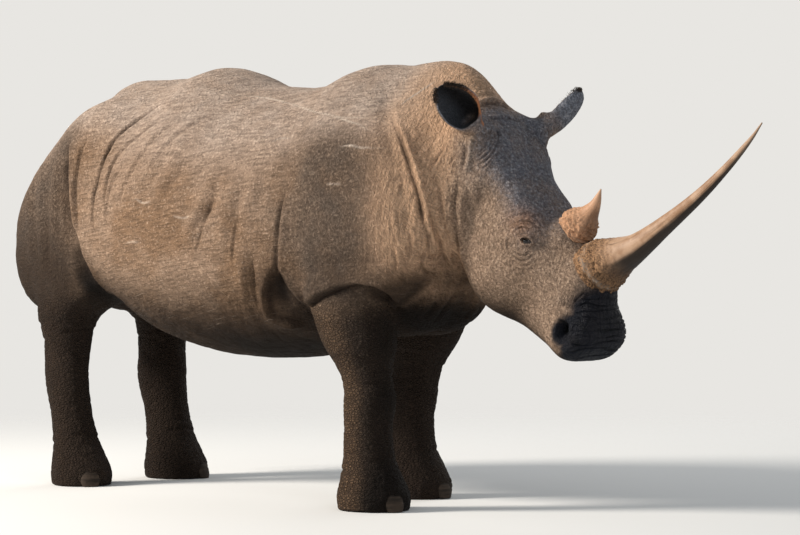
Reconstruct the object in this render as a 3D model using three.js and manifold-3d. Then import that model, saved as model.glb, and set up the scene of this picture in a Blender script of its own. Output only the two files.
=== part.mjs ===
// White rhinoceros, standing, life size. Millimetres, +Z up, the animal faces +X.
// The hide is one smooth body of named masses; it is meshed once, parted with thin cuts and
// fitted with ears, eyes, horns, toenails and tail. While it is built, x = 0 is the front-leg line.
import * as THREE from 'three';
import { mergeVertices } from 'three/addons/utils/BufferGeometryUtils.js';
import Module from 'manifold-3d';

const wasm = await Module();
wasm.setup();
const { Manifold, Mesh } = wasm;

// ---------------------------------------------------------------- driving dimensions
const GAP = 0.4;                    // clearance between neighbouring nodes
const HIDE_CELL = 30;               // sampling of trunk, neck and legs
const HEAD_CELL = 13;               // sampling of the head
const HIDE_FACETS = 3000;           // facets kept for trunk, neck and legs
const HEAD_FACETS = 1650;           // facets kept for the head
const SOLE_DEPTH = 20;              // hide modelled below the floor, then cut flat

// section of the trunk along x: back, belly, half width, height of the widest line
const TRUNK_TOP = curve([-2030, 1190], [-1980, 1310], [-1900, 1405], [-1780, 1520], [-1650, 1645],
  [-1560, 1705], [-1480, 1715], [-1370, 1715], [-1200, 1717], [-1080, 1740], [-970, 1762], [-840, 1737],
  [-660, 1680], [-450, 1670], [-300, 1680], [-150, 1708], [0, 1748], [180, 1748], [300, 1738],
  [420, 1695], [540, 1575], [660, 1422], [800, 1270]);
const TRUNK_BOTTOM = curve([-2030, 980], [-1950, 880], [-1800, 810], [-1600, 800], [-1450, 790],
  [-1340, 745], [-1240, 665], [-1050, 603], [-850, 570], [-600, 562], [-400, 578], [-250, 612],
  [-150, 650], [100, 695], [250, 755], [380, 855], [520, 980], [800, 1070]);
const TRUNK_HALF = curve([-2030, 75], [-1980, 160], [-1880, 245], [-1720, 320], [-1500, 400],
  [-1300, 460], [-1100, 505], [-850, 535], [-600, 530], [-400, 505], [-200, 460], [0, 410], [200, 365],
  [400, 315], [600, 250], [800, 200]);
const TRUNK_MID = curve([-2030, 1080], [-1800, 1100], [-1500, 1100], [-1100, 1050], [-700, 1030],
  [-300, 1060], [100, 1120], [400, 1200], [800, 1170]);
const TRUNK_ROOF = curve([-2030, 1.85], [-1700, 1.62], [-1400, 1.75], [-1000, 1.9], [800, 1.9]);
const TRUNK_ENDS = [-2030, 620];

// the head hangs from the poll; s runs from the poll to the lips, t out of the forehead
const POLL = [600, 0, 1530];
const HEAD_PITCH = 57;
const HEAD_START = -120;
const HEAD_LENGTH = 1025;
const HEAD_FRONT = curve([-120, -65], [-50, -25], [20, 5], [120, 30], [280, 38], [420, 40], [500, 50],
  [580, 74], [680, 106], [760, 115], [840, 95], [910, 66], [965, 30], [1025, -30]);
const HEAD_BACK = curve([-120, -200], [100, -300], [300, -360], [450, -400], [560, -398], [650, -368],
  [750, -312], [850, -257], [930, -212], [980, -172], [1025, -125]);
const HEAD_HALF = curve([-120, 125], [0, 165], [120, 194], [220, 188], [330, 174], [430, 175], [540, 188],
  [600, 178], [660, 156], [750, 137], [850, 132], [950, 140], [990, 137], [1025, 122]);
const HEAD_MID = curve([-120, -80], [100, -90], [300, -120], [500, -130], [650, -110], [800, -75],
  [950, -85], [1025, -85]);
const HEAD_ROUND = curve([-120, 2.2], [130, 2.9], [300, 2.3], [450, 2.0], [600, 1.95], [800, 2.0],
  [920, 2.4], [1025, 2.8]);

// legs over height: forward offset, outward offset, half length, half width
const HIND_LEG = loftTable([0, 0, 0, 132, 122], [50, 0, 0, 138, 128], [110, -10, 0, 125, 115],
  [190, -35, 0, 105, 95], [300, -60, 0, 98, 85], [400, -85, 0, 110, 85], [470, -92, 0, 114, 87],
  [560, -90, 0, 106, 92], [640, -88, 0, 112, 103], [700, -84, 0, 132, 120], [750, -70, -10, 165, 135],
  [800, -40, -20, 205, 145], [870, -15, -30, 250, 155], [1000, 0, -40, 280, 165], [1120, 0, -50, 260, 150]);
const FORE_LEG = loftTable([0, 0, 0, 145, 135], [50, 0, 0, 150, 140], [120, -8, 0, 130, 122],
  [210, -25, 0, 103, 100], [320, -30, 0, 98, 94], [420, -20, 0, 106, 101], [500, -15, 0, 100, 95],
  [560, -15, 0, 112, 106], [620, -15, 0, 140, 130], [700, -15, 0, 163, 148], [840, -10, 0, 185, 160],
  [980, 0, 10, 195, 155], [1080, 0, 30, 190, 140]);
const LEAN_FROM = 450;              // the front legs lean above this height
const LEGS = [
  { name: 'leg_front_right', side: -1, foot: [172, -285], table: FORE_LEG, splay: 8, lean: -0.3, blend: 35 },
  { name: 'leg_front_left', side: 1, foot: [-145, 270], table: FORE_LEG, splay: 8, lean: 0.3, blend: 35 },
  { name: 'leg_hind_right', side: -1, foot: [-1600, -275], table: HIND_LEG, splay: 20, lean: 0, blend: 50 },
  { name: 'leg_hind_left', side: 1, foot: [-1612, 275], table: HIND_LEG, splay: 20, lean: 0, blend: 50 },
];

// paired masses of the trunk: centre, radii, squareness, pitch, blend width
const TRUNK_MASSES = [
  { name: 'nape', at: [325, 0, 1592], r: [185, 115, 155], n: 2, pitch: 0, blend: 100 },
  { name: 'blade', at: [-20, 120, 1420], r: [240, 170, 280], n: 2, pitch: -15, blend: 140 },
  { name: 'hip', at: [-1430, 240, 1440], r: [250, 150, 170], n: 2, pitch: 0, blend: 120 },
  { name: 'thigh', at: [-1610, 235, 1105], r: [300, 185, 365], n: 2.2, pitch: 0, blend: 120 },
  { name: 'buttock', at: [-1825, 190, 1020], r: [198, 178, 300], n: 2.3, pitch: 8, blend: 100 },
  { name: 'brisket', at: [172, 100, 880], r: [200, 170, 190], n: 2, pitch: 0, blend: 120 },
];
const SHOULDER = { at: [120, 260, 1170], r: [370, 200, 370], n: 2.4, pitch: -18 };

// masses of the head, placed by s, t and distance from the mid plane
const HEAD_MASSES = [
  { name: 'cheek', at: onHead(490, -230, 85), r: [200, 105, 160], n: 2.2, blend: 100 },
  { name: 'brow', at: onHead(445, -55, 114), r: [130, 55, 65], n: 2, blend: 80 },
  { name: 'lip', at: onHead(930, -70, 52), r: [95, 90, 98], n: 2.6, blend: 50 },
  { name: 'front_boss', at: onHead(762, 52, 0), r: [122, 112, 82], n: 2, blend: 50 },
  { name: 'rear_boss', at: onHead(580, 60, 0), r: [85, 85, 50], n: 2, blend: 50 },
  { name: 'ear_root', at: onHead(50, -50, 150), r: [85, 60, 75], n: 2, blend: 50 },
];

// ---------------------------------------------------------------- curves and blends
/** Smooth monotone curve through [position, value] pairs, as a function. */
function curve(...points) {
  const count = 600;
  const xs = points.map((p) => p[0]);
  const ys = points.map((p) => p[1]);
  const last = xs.length - 1;
  const rise = xs.slice(1).map((x, i) => (ys[i + 1] - ys[i]) / (x - xs[i]));
  const slope = xs.map((x, i) => {
    if (i === 0) return rise[0];
    if (i === last) return rise[last - 1];
    if (rise[i - 1] * rise[i] <= 0) return 0;
    const before = xs[i] - xs[i - 1];
    const after = xs[i + 1] - xs[i];
    const w1 = 2 * after + before;
    const w2 = after + 2 * before;
    return (w1 + w2) / (w1 / rise[i - 1] + w2 / rise[i]);
  });
  const step = (xs[last] - xs[0]) / (count - 1);
  const raw = [];
  for (let k = 0, i = 0; k < count; k++) {
    const x = xs[0] + step * k;
    while (i < last - 1 && x > xs[i + 1]) i++;
    const h = xs[i + 1] - xs[i];
    const s = (x - xs[i]) / h;
    raw.push((1 + 2 * s) * (1 - s) ** 2 * ys[i] + s * (1 - s) ** 2 * h * slope[i]
      + s * s * (3 - 2 * s) * ys[i + 1] + s * s * (s - 1) * h * slope[i + 1]);
  }
  const table = softened(raw, 15);
  return (x) => {
    const k = Math.min(Math.max((x - xs[0]) / step, 0), count - 1.001);
    const i = Math.floor(k);
    return table[i] + (table[i + 1] - table[i]) * (k - i);
  };
}

/** Running mean with a bell window; the ends continue by point reflection. */
function softened(values, reach) {
  const last = values.length - 1;
  const at = (i) => {
    if (i < 0) return 2 * values[0] - values[-i];
    if (i > last) return 2 * values[last] - values[2 * last - i];
    return values[i];
  };
  return values.map((v, i) => {
    let sum = 0;
    let weight = 0;
    for (let j = -reach; j <= reach; j++) {
      const w = 0.5 + 0.5 * Math.cos(Math.PI * j / reach);
      sum += w * at(i + j);
      weight += w;
    }
    return sum / weight;
  });
}

function loftTable(...rows) {
  const column = (c) => curve(...rows.map((r) => [r[0], r[c]]));
  return { top: rows[rows.length - 1][0], forward: column(1), out: column(2), length: column(3),
    width: column(4) };
}

function smoothMin(a, b, k) {
  const h = Math.max(k - Math.abs(a - b), 0) / k;
  return Math.min(a, b) - h * h * k * 0.25;
}

function smoothMax(a, b, k) {
  return -smoothMin(-a, -b, k);
}

function clamp(v, low, high) {
  return Math.min(Math.max(v, low), high);
}

/** Point of the mid plane (or y off it) given along and out of the head. */
function onHead(s, t, y = 0) {
  const a = THREE.MathUtils.degToRad(HEAD_PITCH);
  return [POLL[0] + s * Math.cos(a) + t * Math.sin(a), y, POLL[2] - s * Math.sin(a) + t * Math.cos(a)];
}

/** Signed value of a rounded section: v up the section, u across it. */
function section(u, v, halfWidth, up, down, nUp, nDown) {
  const n = v > 0 ? nUp : nDown;
  const reach = v > 0 ? up : down;
  const rho = ((Math.abs(u) / halfWidth) ** n + (Math.abs(v) / reach) ** n) ** (1 / n);
  return rho > 1e-6 ? Math.hypot(u, v) * (1 - 1 / rho) : -Math.min(halfWidth, reach);
}

/** Signed value of a rounded mass, pitched nose-down about y. */
function mass(x, y, z, at, r, n, pitch) {
  const a = THREE.MathUtils.degToRad(pitch);
  const dx = x - at[0];
  const dy = y - at[1];
  const dz = z - at[2];
  const px = dx * Math.cos(a) - dz * Math.sin(a);
  const pz = dx * Math.sin(a) + dz * Math.cos(a);
  const rho = (Math.abs(px / r[0]) ** n + Math.abs(dy / r[1]) ** n + Math.abs(pz / r[2]) ** n) ** (1 / n);
  return rho > 1e-6 ? Math.hypot(dx, dy, dz) * (1 - 1 / rho) : -Math.min(...r);
}

/** Distance from the mid plane, rounded so that paired masses meet without a crease. */
function offMid(y) {
  return Math.sqrt(y * y + 900);
}

// ---------------------------------------------------------------- the hide
function trunkShape(x, y, z) {
  const along = clamp(x, TRUNK_ENDS[0], 750);
  const mid = TRUNK_MID(along);
  const d = section(y, z - mid, TRUNK_HALF(along), TRUNK_TOP(along) - mid, mid - TRUNK_BOTTOM(along),
    TRUNK_ROOF(along), 2.15);
  return smoothMax(smoothMax(d, x - TRUNK_ENDS[1], 80), TRUNK_ENDS[0] - x, 40);
}

function headShape(x, y, z) {
  const a = THREE.MathUtils.degToRad(HEAD_PITCH);
  const dx = x - POLL[0];
  const dz = z - POLL[2];
  const s = dx * Math.cos(a) - dz * Math.sin(a);
  const t = dx * Math.sin(a) + dz * Math.cos(a);
  const along = clamp(s, HEAD_START, HEAD_LENGTH);
  const mid = HEAD_MID(along);
  let d = section(y, t - mid, HEAD_HALF(along), HEAD_FRONT(along) - mid, mid - HEAD_BACK(along),
    HEAD_ROUND(along), 2.3);
  d = smoothMax(d, s - HEAD_LENGTH + 20, 50);
  d = smoothMax(d, HEAD_START - s, 100);
  for (const m of HEAD_MASSES) {
    d = smoothMin(d, mass(x, offMid(y), z, m.at, m.r, m.n, HEAD_PITCH), m.blend);
  }
  return d;
}

function legShape(x, y, z, leg) {
  const h = clamp(z, 0, leg.table.top);
  const turn = clamp(1.2 - h / 900, 0, 1) * THREE.MathUtils.degToRad(leg.splay) * leg.side;
  const dx = x - leg.foot[0] - leg.table.forward(h) - leg.lean * Math.max(h - LEAN_FROM, 0);
  const dy = y - leg.foot[1] - leg.side * leg.table.out(h);
  const u = Math.cos(turn) * dx + Math.sin(turn) * dy;
  const v = -Math.sin(turn) * dx + Math.cos(turn) * dy;
  const w = leg.table.width(h);
  return smoothMax(section(u, v, leg.table.length(h), w, w, 2.15, 2.15), z - leg.table.top + 20, 80);
}

/** The whole hide: negative inside, zero on the surface. */
function hide(x, y, z) {
  let d = trunkShape(x, y, z);
  for (const m of TRUNK_MASSES) {
    d = smoothMin(d, mass(x, offMid(y), z, m.at, m.r, m.n, m.pitch), m.blend);
  }
  const shoulder = mass(x, offMid(y), z, SHOULDER.at, SHOULDER.r, SHOULDER.n, SHOULDER.pitch);
  d = smoothMin(d, shoulder, clamp((z - 950) * 0.25, 30, 140));
  for (const leg of LEGS) {
    d = smoothMin(d, legShape(x, y, z, leg), leg.blend);
  }
  d = smoothMin(d, headShape(x, y, z), clamp(35 + (z - 1150) * 0.25, 35, 120));
  return Math.max(d, -SOLE_DEPTH - z);
}

// ---------------------------------------------------------------- meshing
/** Closed mesh of the surface shape = 0 inside a box, one vertex to each cell it passes. */
function meshShape(shape, low, high, cell) {
  const n = low.map((v, i) => Math.ceil((high[i] - v) / cell) + 1);
  const index = (i, j, k) => (i * n[1] + j) * n[2] + k;
  const value = new Float64Array(n[0] * n[1] * n[2]);
  for (let i = 0; i < n[0]; i++) {
    for (let j = 0; j < n[1]; j++) {
      for (let k = 0; k < n[2]; k++) {
        value[index(i, j, k)] = shape(low[0] + i * cell, low[1] + j * cell, low[2] + k * cell);
      }
    }
  }
  const points = [];
  const owner = new Int32Array(value.length).fill(-1);
  for (let i = 0; i < n[0] - 1; i++) {
    for (let j = 0; j < n[1] - 1; j++) {
      for (let k = 0; k < n[2] - 1; k++) {
        const p = cellPoint(value, index, i, j, k);
        if (!p) continue;
        owner[index(i, j, k)] = points.length;
        points.push(onSurface(shape, p.map((v, c) => low[c] + v * cell), cell));
      }
    }
  }
  return { points, faces: cellFaces(value, owner, index, n) };
}

/** Mean of the crossings on the twelve edges of a cell, in cells; null when there are none. */
function cellPoint(value, index, i, j, k) {
  const sum = [0, 0, 0];
  let count = 0;
  for (let c = 0; c < 8; c++) {
    const a = [c & 1, (c >> 1) & 1, c >> 2];
    for (let axis = 0; axis < 3; axis++) {
      if (a[axis]) continue;
      const b = a.slice();
      b[axis] = 1;
      const va = value[index(i + a[0], j + a[1], k + a[2])];
      const vb = value[index(i + b[0], j + b[1], k + b[2])];
      if ((va < 0) === (vb < 0)) continue;
      const q = a.slice();
      q[axis] = va / (va - vb);
      q.forEach((v, m) => { sum[m] += v; });
      count += 1;
    }
  }
  return count ? [i + sum[0] / count, j + sum[1] / count, k + sum[2] / count] : null;
}

/** Moves a point onto the surface along the slope of the shape. */
function onSurface(shape, p, cell) {
  const e = 1;
  let q = p;
  for (let step = 0; step < 2; step++) {
    const [x, y, z] = q;
    const g = [
      (shape(x + e, y, z) - shape(x - e, y, z)) / (2 * e),
      (shape(x, y + e, z) - shape(x, y - e, z)) / (2 * e),
      (shape(x, y, z + e) - shape(x, y, z - e)) / (2 * e)];
    const steep = Math.max(g[0] ** 2 + g[1] ** 2 + g[2] ** 2, 0.04);
    const move = clamp(shape(x, y, z) / steep, -cell * 0.4, cell * 0.4);
    q = q.map((v, i) => v - move * g[i]);
  }
  return q;
}

/** Two triangles for each grid edge the surface crosses. */
function cellFaces(value, owner, index, n) {
  const faces = [];
  const near = [[-1, -1], [0, -1], [0, 0], [-1, 0]];
  for (let i = 1; i < n[0] - 1; i++) {
    for (let j = 1; j < n[1] - 1; j++) {
      for (let k = 1; k < n[2] - 1; k++) {
        const at = [i, j, k];
        for (let axis = 0; axis < 3; axis++) {
          const next = at.slice();
          next[axis] += 1;
          const inside = value[index(...at)] < 0;
          if (inside === (value[index(...next)] < 0)) continue;
          const ring = near.map(([db, dc]) => {
            const c = at.slice();
            c[(axis + 1) % 3] += db;
            c[(axis + 2) % 3] += dc;
            return owner[index(...c)];
          });
          if (!inside) ring.reverse();
          faces.push([ring[0], ring[1], ring[2]], [ring[0], ring[2], ring[3]]);
        }
      }
    }
  }
  return faces;
}

// ---------------------------------------------------------------- thinning a mesh
/** Collapses the edges that matter least until about `target` faces remain. */
function thinned(mesh, target, weightAt) {
  const pos = mesh.points.map((p) => p.slice());
  const faces = mesh.faces.map((f) => f.slice());
  const alive = new Uint8Array(faces.length).fill(1);
  const around = pos.map(() => new Set());
  faces.forEach((f, i) => f.forEach((v) => around[v].add(i)));
  const error = pos.map(() => new Float64Array(10));
  faces.forEach((f) => addPlane(error, f, pos, weightAt));
  const version = new Int32Array(pos.length);
  const heap = [];
  const neighbours = (v) => {
    const out = new Set();
    around[v].forEach((f) => faces[f].forEach((w) => out.add(w)));
    out.delete(v);
    return out;
  };
  const offer = (a, b) => {
    const [cost, p] = bestPoint(error[a], error[b], pos[a], pos[b]);
    pushHeap(heap, { cost, p, a, b, stamp: version[a] + version[b] });
  };
  pos.forEach((p, v) => neighbours(v).forEach((w) => { if (v < w) offer(v, w); }));
  let count = faces.length;
  while (count > target && heap.length) {
    const e = popHeap(heap);
    if (!around[e.a] || !around[e.b] || e.stamp !== version[e.a] + version[e.b]) continue;
    const na = neighbours(e.a);
    const nb = neighbours(e.b);
    const shared = [...na].filter((v) => nb.has(v));
    if (!na.has(e.b) || shared.length !== 2 || shared.some((v) => around[v].size < 4)) continue;
    if (flips(e, faces, around, pos)) continue;
    [...around[e.b]].forEach((f) => {
      if (faces[f].includes(e.a)) {
        faces[f].forEach((v) => around[v].delete(f));
        alive[f] = 0;
        count -= 1;
      } else {
        faces[f] = faces[f].map((v) => (v === e.b ? e.a : v));
        around[e.a].add(f);
      }
    });
    around[e.b] = null;
    pos[e.a] = e.p;
    error[e.a] = error[e.a].map((q, i) => q + error[e.b][i]);
    version[e.a] += 1;
    neighbours(e.a).forEach((v) => offer(Math.min(e.a, v), Math.max(e.a, v)));
  }
  return packed(pos, faces.filter((f, i) => alive[i]));
}

function faceNormal(p, q, r) {
  const u = [q[0] - p[0], q[1] - p[1], q[2] - p[2]];
  const v = [r[0] - p[0], r[1] - p[1], r[2] - p[2]];
  return [u[1] * v[2] - u[2] * v[1], u[2] * v[0] - u[0] * v[2], u[0] * v[1] - u[1] * v[0]];
}

/** Adds the squared distance to a face's plane to the error of its corners. */
function addPlane(error, face, pos, weightAt) {
  const [p, q, r] = face.map((v) => pos[v]);
  const n = faceNormal(p, q, r);
  const size = Math.hypot(...n);
  if (size < 1e-9) return;
  const [a, b, c] = n.map((v) => v / size);
  const d = -(a * p[0] + b * p[1] + c * p[2]);
  const w = size * weightAt(p);
  const terms = [a * a, a * b, a * c, a * d, b * b, b * c, b * d, c * c, c * d, d * d];
  face.forEach((v) => terms.forEach((t, i) => { error[v][i] += t * w; }));
}

function errorAt(q, [x, y, z]) {
  return q[0] * x * x + 2 * q[1] * x * y + 2 * q[2] * x * z + 2 * q[3] * x + q[4] * y * y
    + 2 * q[5] * y * z + 2 * q[6] * y + q[7] * z * z + 2 * q[8] * z + q[9];
}

/** Cheapest place for the point that replaces an edge, and its cost. */
function bestPoint(qa, qb, pa, pb) {
  const q = qa.map((v, i) => v + qb[i]);
  const mid = pa.map((v, i) => (v + pb[i]) / 2);
  const reach = Math.hypot(pa[0] - pb[0], pa[1] - pb[1], pa[2] - pb[2]);
  const m = new THREE.Matrix3().set(q[0], q[1], q[2], q[1], q[4], q[5], q[2], q[5], q[7]);
  const det = m.determinant();
  const scale = Math.max(q[0] + q[4] + q[7], 1e-12);
  let p = mid;
  if (Math.abs(det) > 1e-4 * scale ** 3) {
    const v = new THREE.Vector3(-q[3], -q[6], -q[8]).applyMatrix3(m.invert());
    const far = Math.hypot(v.x - mid[0], v.y - mid[1], v.z - mid[2]);
    if (far < reach) p = [v.x, v.y, v.z];
  }
  return [errorAt(q, p) + 1e-3 * scale * reach * reach, p];
}

/** True when the collapse would fold a face over. */
function flips(e, faces, around, pos) {
  for (const end of [e.a, e.b]) {
    for (const f of around[end]) {
      const corners = faces[f];
      if (corners.includes(e.a) && corners.includes(e.b)) continue;
      const before = faceNormal(...corners.map((v) => pos[v]));
      const after = faceNormal(...corners.map((v) => (v === end ? e.p : pos[v])));
      const dot = before[0] * after[0] + before[1] * after[1] + before[2] * after[2];
      if (dot <= 0.25 * Math.hypot(...before) * Math.hypot(...after)) return true;
    }
  }
  return false;
}

function pushHeap(heap, item) {
  let i = heap.length;
  heap.push(item);
  while (i > 0) {
    const up = (i - 1) >> 1;
    if (heap[up].cost <= item.cost) break;
    heap[i] = heap[up];
    i = up;
  }
  heap[i] = item;
}

function popHeap(heap) {
  const top = heap[0];
  const item = heap.pop();
  if (!heap.length) return top;
  let i = 0;
  for (;;) {
    let child = 2 * i + 1;
    if (child >= heap.length) break;
    if (child + 1 < heap.length && heap[child + 1].cost < heap[child].cost) child += 1;
    if (heap[child].cost >= item.cost) break;
    heap[i] = heap[child];
    i = child;
  }
  heap[i] = item;
  return top;
}

function packed(pos, faces) {
  const number = new Map();
  const points = [];
  const renumber = (v) => {
    if (!number.has(v)) {
      number.set(v, points.length);
      points.push(pos[v]);
    }
    return number.get(v);
  };
  return { points, faces: faces.map((f) => f.map(renumber)) };
}

// ---------------------------------------------------------------- solids
function solidOf({ points, faces }) {
  return new Manifold(new Mesh({
    numProp: 3,
    vertProperties: new Float32Array(points.flat()),
    triVerts: new Uint32Array(faces.flat()),
  }));
}

function solidOfGeometry(geometry) {
  const bare = new THREE.BufferGeometry();
  bare.setAttribute('position', geometry.getAttribute('position'));
  bare.setIndex(geometry.getIndex());
  const joined = mergeVertices(bare, 1e-4);
  const at = joined.getAttribute('position');
  const points = Array.from({ length: at.count }, (_, i) => [at.getX(i), at.getY(i), at.getZ(i)]);
  const index = Array.from(joined.getIndex().array);
  const faces = [];
  for (let i = 0; i < index.length; i += 3) {
    const f = index.slice(i, i + 3);
    if (new Set(f).size === 3) faces.push(f);
  }
  return solidOf({ points, faces });
}

/** Everything behind the plane through `point` that faces `normal`, moved out by `grow`. */
function behind(point, normal, grow) {
  const size = 8000;
  const box = new THREE.BoxGeometry(size, size, size);
  box.translate(0, 0, -size / 2);
  const n = new THREE.Vector3(...normal).normalize();
  box.applyQuaternion(new THREE.Quaternion().setFromUnitVectors(new THREE.Vector3(0, 0, 1), n));
  box.translate(point[0] + n.x * grow, point[1] + n.y * grow, point[2] + n.z * grow);
  return solidOfGeometry(box);
}

function wedge(planes, grow) {
  return planes.map(([point, normal]) => behind(point, normal, grow)).reduce((a, b) => a.intersect(b));
}

/** Closed loft through rings of equal point count; the first and last ring are fanned shut. */
function loft(rings) {
  const n = rings[0].length;
  const points = rings.flat();
  const faces = [];
  for (let r = 0; r + 1 < rings.length; r++) {
    for (let i = 0; i < n; i++) {
      const a = r * n + i;
      const b = r * n + (i + 1) % n;
      faces.push([a, b, b + n], [a, b + n, a + n]);
    }
  }
  for (const [r, forward] of [[0, false], [rings.length - 1, true]]) {
    const centre = [0, 1, 2].map((c) => rings[r].reduce((sum, p) => sum + p[c], 0) / n);
    const hub = points.push(centre) - 1;
    for (let i = 0; i < n; i++) {
      const a = r * n + i;
      const b = r * n + (i + 1) % n;
      faces.push(forward ? [a, b, hub] : [b, a, hub]);
    }
  }
  return solidOf({ points, faces });
}

/** Round bar along a smooth path with a radius for each share of its length, `grow` larger all round. */
function bar(path, radius, ringCount, sides, grow) {
  const spine = new THREE.CatmullRomCurve3(path.map((p) => new THREE.Vector3(...p)));
  const frames = spine.computeFrenetFrames(ringCount - 1, false);
  const rings = [];
  for (let r = 0; r < ringCount; r++) {
    const u = r / (ringCount - 1);
    const centre = spine.getPointAt(u).addScaledVector(frames.tangents[r], endShift(r, ringCount, grow));
    const ring = [];
    for (let i = 0; i < sides; i++) {
      const a = 2 * Math.PI * i / sides;
      const p = centre.clone()
        .addScaledVector(frames.normals[r], Math.cos(a) * (radius(u) + grow))
        .addScaledVector(frames.binormals[r], Math.sin(a) * (radius(u) + grow));
      ring.push([p.x, p.y, p.z]);
    }
    rings.push(ring);
  }
  return loft(rings);
}

/** The first ring moves back and the last one forward by `grow`. */
function endShift(r, ringCount, grow) {
  if (r === 0) return -grow;
  return r === ringCount - 1 ? grow : 0;
}

/** Where a ray from inside the hide leaves it. */
function leavesHide(from, direction) {
  const d = new THREE.Vector3(...direction).normalize();
  let inside = 0;
  let outside = 600;
  for (let i = 0; i < 30; i++) {
    const mid = (inside + outside) / 2;
    if (hide(from[0] + d.x * mid, from[1] + d.y * mid, from[2] + d.z * mid) < 0) inside = mid;
    else outside = mid;
  }
  return new THREE.Vector3(...from).addScaledVector(d, inside);
}

// ---------------------------------------------------------------- horns, eyes, ears, nails, tail
const FRONT_HORN = {
  path: [[1085, 0, 947], [1120, 0, 970], [1200, 0, 1004], [1300, 0, 1046], [1430, 0, 1124],
    [1600, 0, 1236], [1740, 0, 1346], [1850, 0, 1446], [1906, 0, 1508]],
  radius: curve([0, 106], [0.06, 102], [0.1, 88], [0.16, 69], [0.24, 52], [0.36, 39], [0.5, 29],
    [0.7, 19], [0.86, 12], [1, 2.5]),
};
const REAR_HORN = {
  path: [[985, 0, 1105], [1012, 0, 1130], [1050, 0, 1165], [1085, 0, 1205], [1113, 0, 1262]],
  radius: curve([0, 74], [0.15, 72], [0.28, 62], [0.45, 40], [0.65, 24], [0.85, 12], [1, 2.5]),
};
const EYE_RADIUS = 24;
const EYE_AT = { s: 545, t: -22, sunk: 14 };
const EAR = {
  root: [612, 150, 1458],
  length: { left: 306, right: 306 },
  axis: { left: [0.168, 0.759, 0.629], right: [0.066, -0.775, 0.629] },
  opening: { left: [-0.6, -0.42, 0.68], right: [0.81, -0.35, -0.47] },
  bow: { left: [0, -5], right: [-13, 0] },
  halfWidth: curve([0, 42], [0.2, 46], [0.36, 64], [0.55, 80], [0.72, 75], [0.88, 50], [1, 12]),
  halfDepth: curve([0, 44], [0.25, 50], [0.5, 56], [0.75, 50], [0.9, 38], [1, 13]),
  hollow: curve([0, 0], [0.24, 0], [0.36, 0.75], [0.46, 1], [1, 1]),
  wall: curve([0, 14], [0.4, 11], [0.8, 8], [1, 5]),
};
const NAIL_SPREAD = [-42, 0, 42];
const TAIL = {
  path: [[-1950, 0, 1322], [-2005, 0, 1305], [-2055, 0, 1235], [-2080, 0, 1110], [-2082, 0, 960],
    [-2074, 0, 850], [-2064, 0, 752]],
  radius: curve([0, 46], [0.15, 42], [0.35, 27], [0.6, 19], [0.78, 17], [0.88, 25], [0.95, 20], [1, 4]),
};

function horn({ path, radius }, grow = 0) {
  return bar(path, radius, 12, 12, grow);
}

function tail(grow = 0) {
  return bar(TAIL.path, TAIL.radius, 13, 8, grow);
}

function eyeCentre(side) {
  const [x, , z] = onHead(EYE_AT.s, EYE_AT.t);
  const skin = leavesHide([x, 0, z], [0, side, 0]);
  return [x, skin.y - side * EYE_AT.sunk, z];
}

function eye(side, grow = 0) {
  const ball = new THREE.SphereGeometry(EYE_RADIUS + grow, 10, 7);
  ball.translate(...eyeCentre(side));
  return solidOfGeometry(ball);
}

/** Ear: rings that start as a full oval and open into a cup with a rolled rim. */
function ear(name, grow = 0) {
  const side = name === 'left' ? 1 : -1;
  const axis = new THREE.Vector3(...EAR.axis[name]).normalize();
  const open = new THREE.Vector3(...EAR.opening[name]);
  open.addScaledVector(axis, -open.dot(axis)).normalize();
  const across = new THREE.Vector3().crossVectors(open, axis);
  const root = new THREE.Vector3(EAR.root[0], side * EAR.root[1], EAR.root[2]);
  const ringCount = 10;
  const steps = 8;
  const rings = [];
  for (let r = 0; r < ringCount; r++) {
    const u = r / (ringCount - 1);
    const centre = root.clone().addScaledVector(axis, EAR.length[name] * u + endShift(r, ringCount, grow));
    centre.addScaledVector(across, EAR.bow[name][0] * Math.sin(Math.PI * u));
    centre.addScaledVector(open, EAR.bow[name][1] * Math.sin(Math.PI * u));
    const ring = [];
    const place = (a, b) => {
      const p = centre.clone().addScaledVector(across, a).addScaledVector(open, b);
      ring.push([p.x, p.y, p.z]);
    };
    const w = EAR.halfWidth(u) + grow;
    const d = EAR.halfDepth(u) + grow;
    const wall = EAR.wall(u);
    for (let i = 0; i < steps; i++) {
      const a = (i / (steps - 1) - 0.5) * 4.0;
      place(w * Math.sin(a), -d * Math.cos(a));
    }
    for (let i = steps - 1; i >= 0; i--) {
      const a = (i / (steps - 1) - 0.5) * 3.6;
      const front = [w * Math.sin(a * 0.52) * 0.94, d * (0.42 + 0.5 * Math.cos(a * 0.87))];
      const inner = [(w - wall) * Math.sin(a), -(d - wall) * Math.cos(a)];
      const h = EAR.hollow(u);
      place(front[0] + (inner[0] - front[0]) * h, front[1] + (inner[1] - front[1]) * h);
    }
    rings.push(ring);
  }
  return loft(rings);
}

/** Toenail: an oval shield let into the front of the foot, flat on the floor. */
function nail(leg, turn, grow = 0) {
  const angle = THREE.MathUtils.degToRad(leg.splay * leg.side * 1.2 + turn);
  const height = 34;
  const at = leavesHide([leg.foot[0], leg.foot[1], height], [Math.cos(angle), Math.sin(angle), 0]);
  const shield = new THREE.SphereGeometry(1, 8, 4);
  shield.scale(20 + grow, (turn ? 34 : 42) + grow, 46 + grow);
  shield.rotateY(-0.3);
  shield.rotateZ(angle);
  shield.translate(at.x - 11 * Math.cos(angle), at.y - 11 * Math.sin(angle), height);
  return solidOfGeometry(shield).intersect(behind([0, 0, 0.5 - grow], [0, 0, -1], 0));
}

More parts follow.
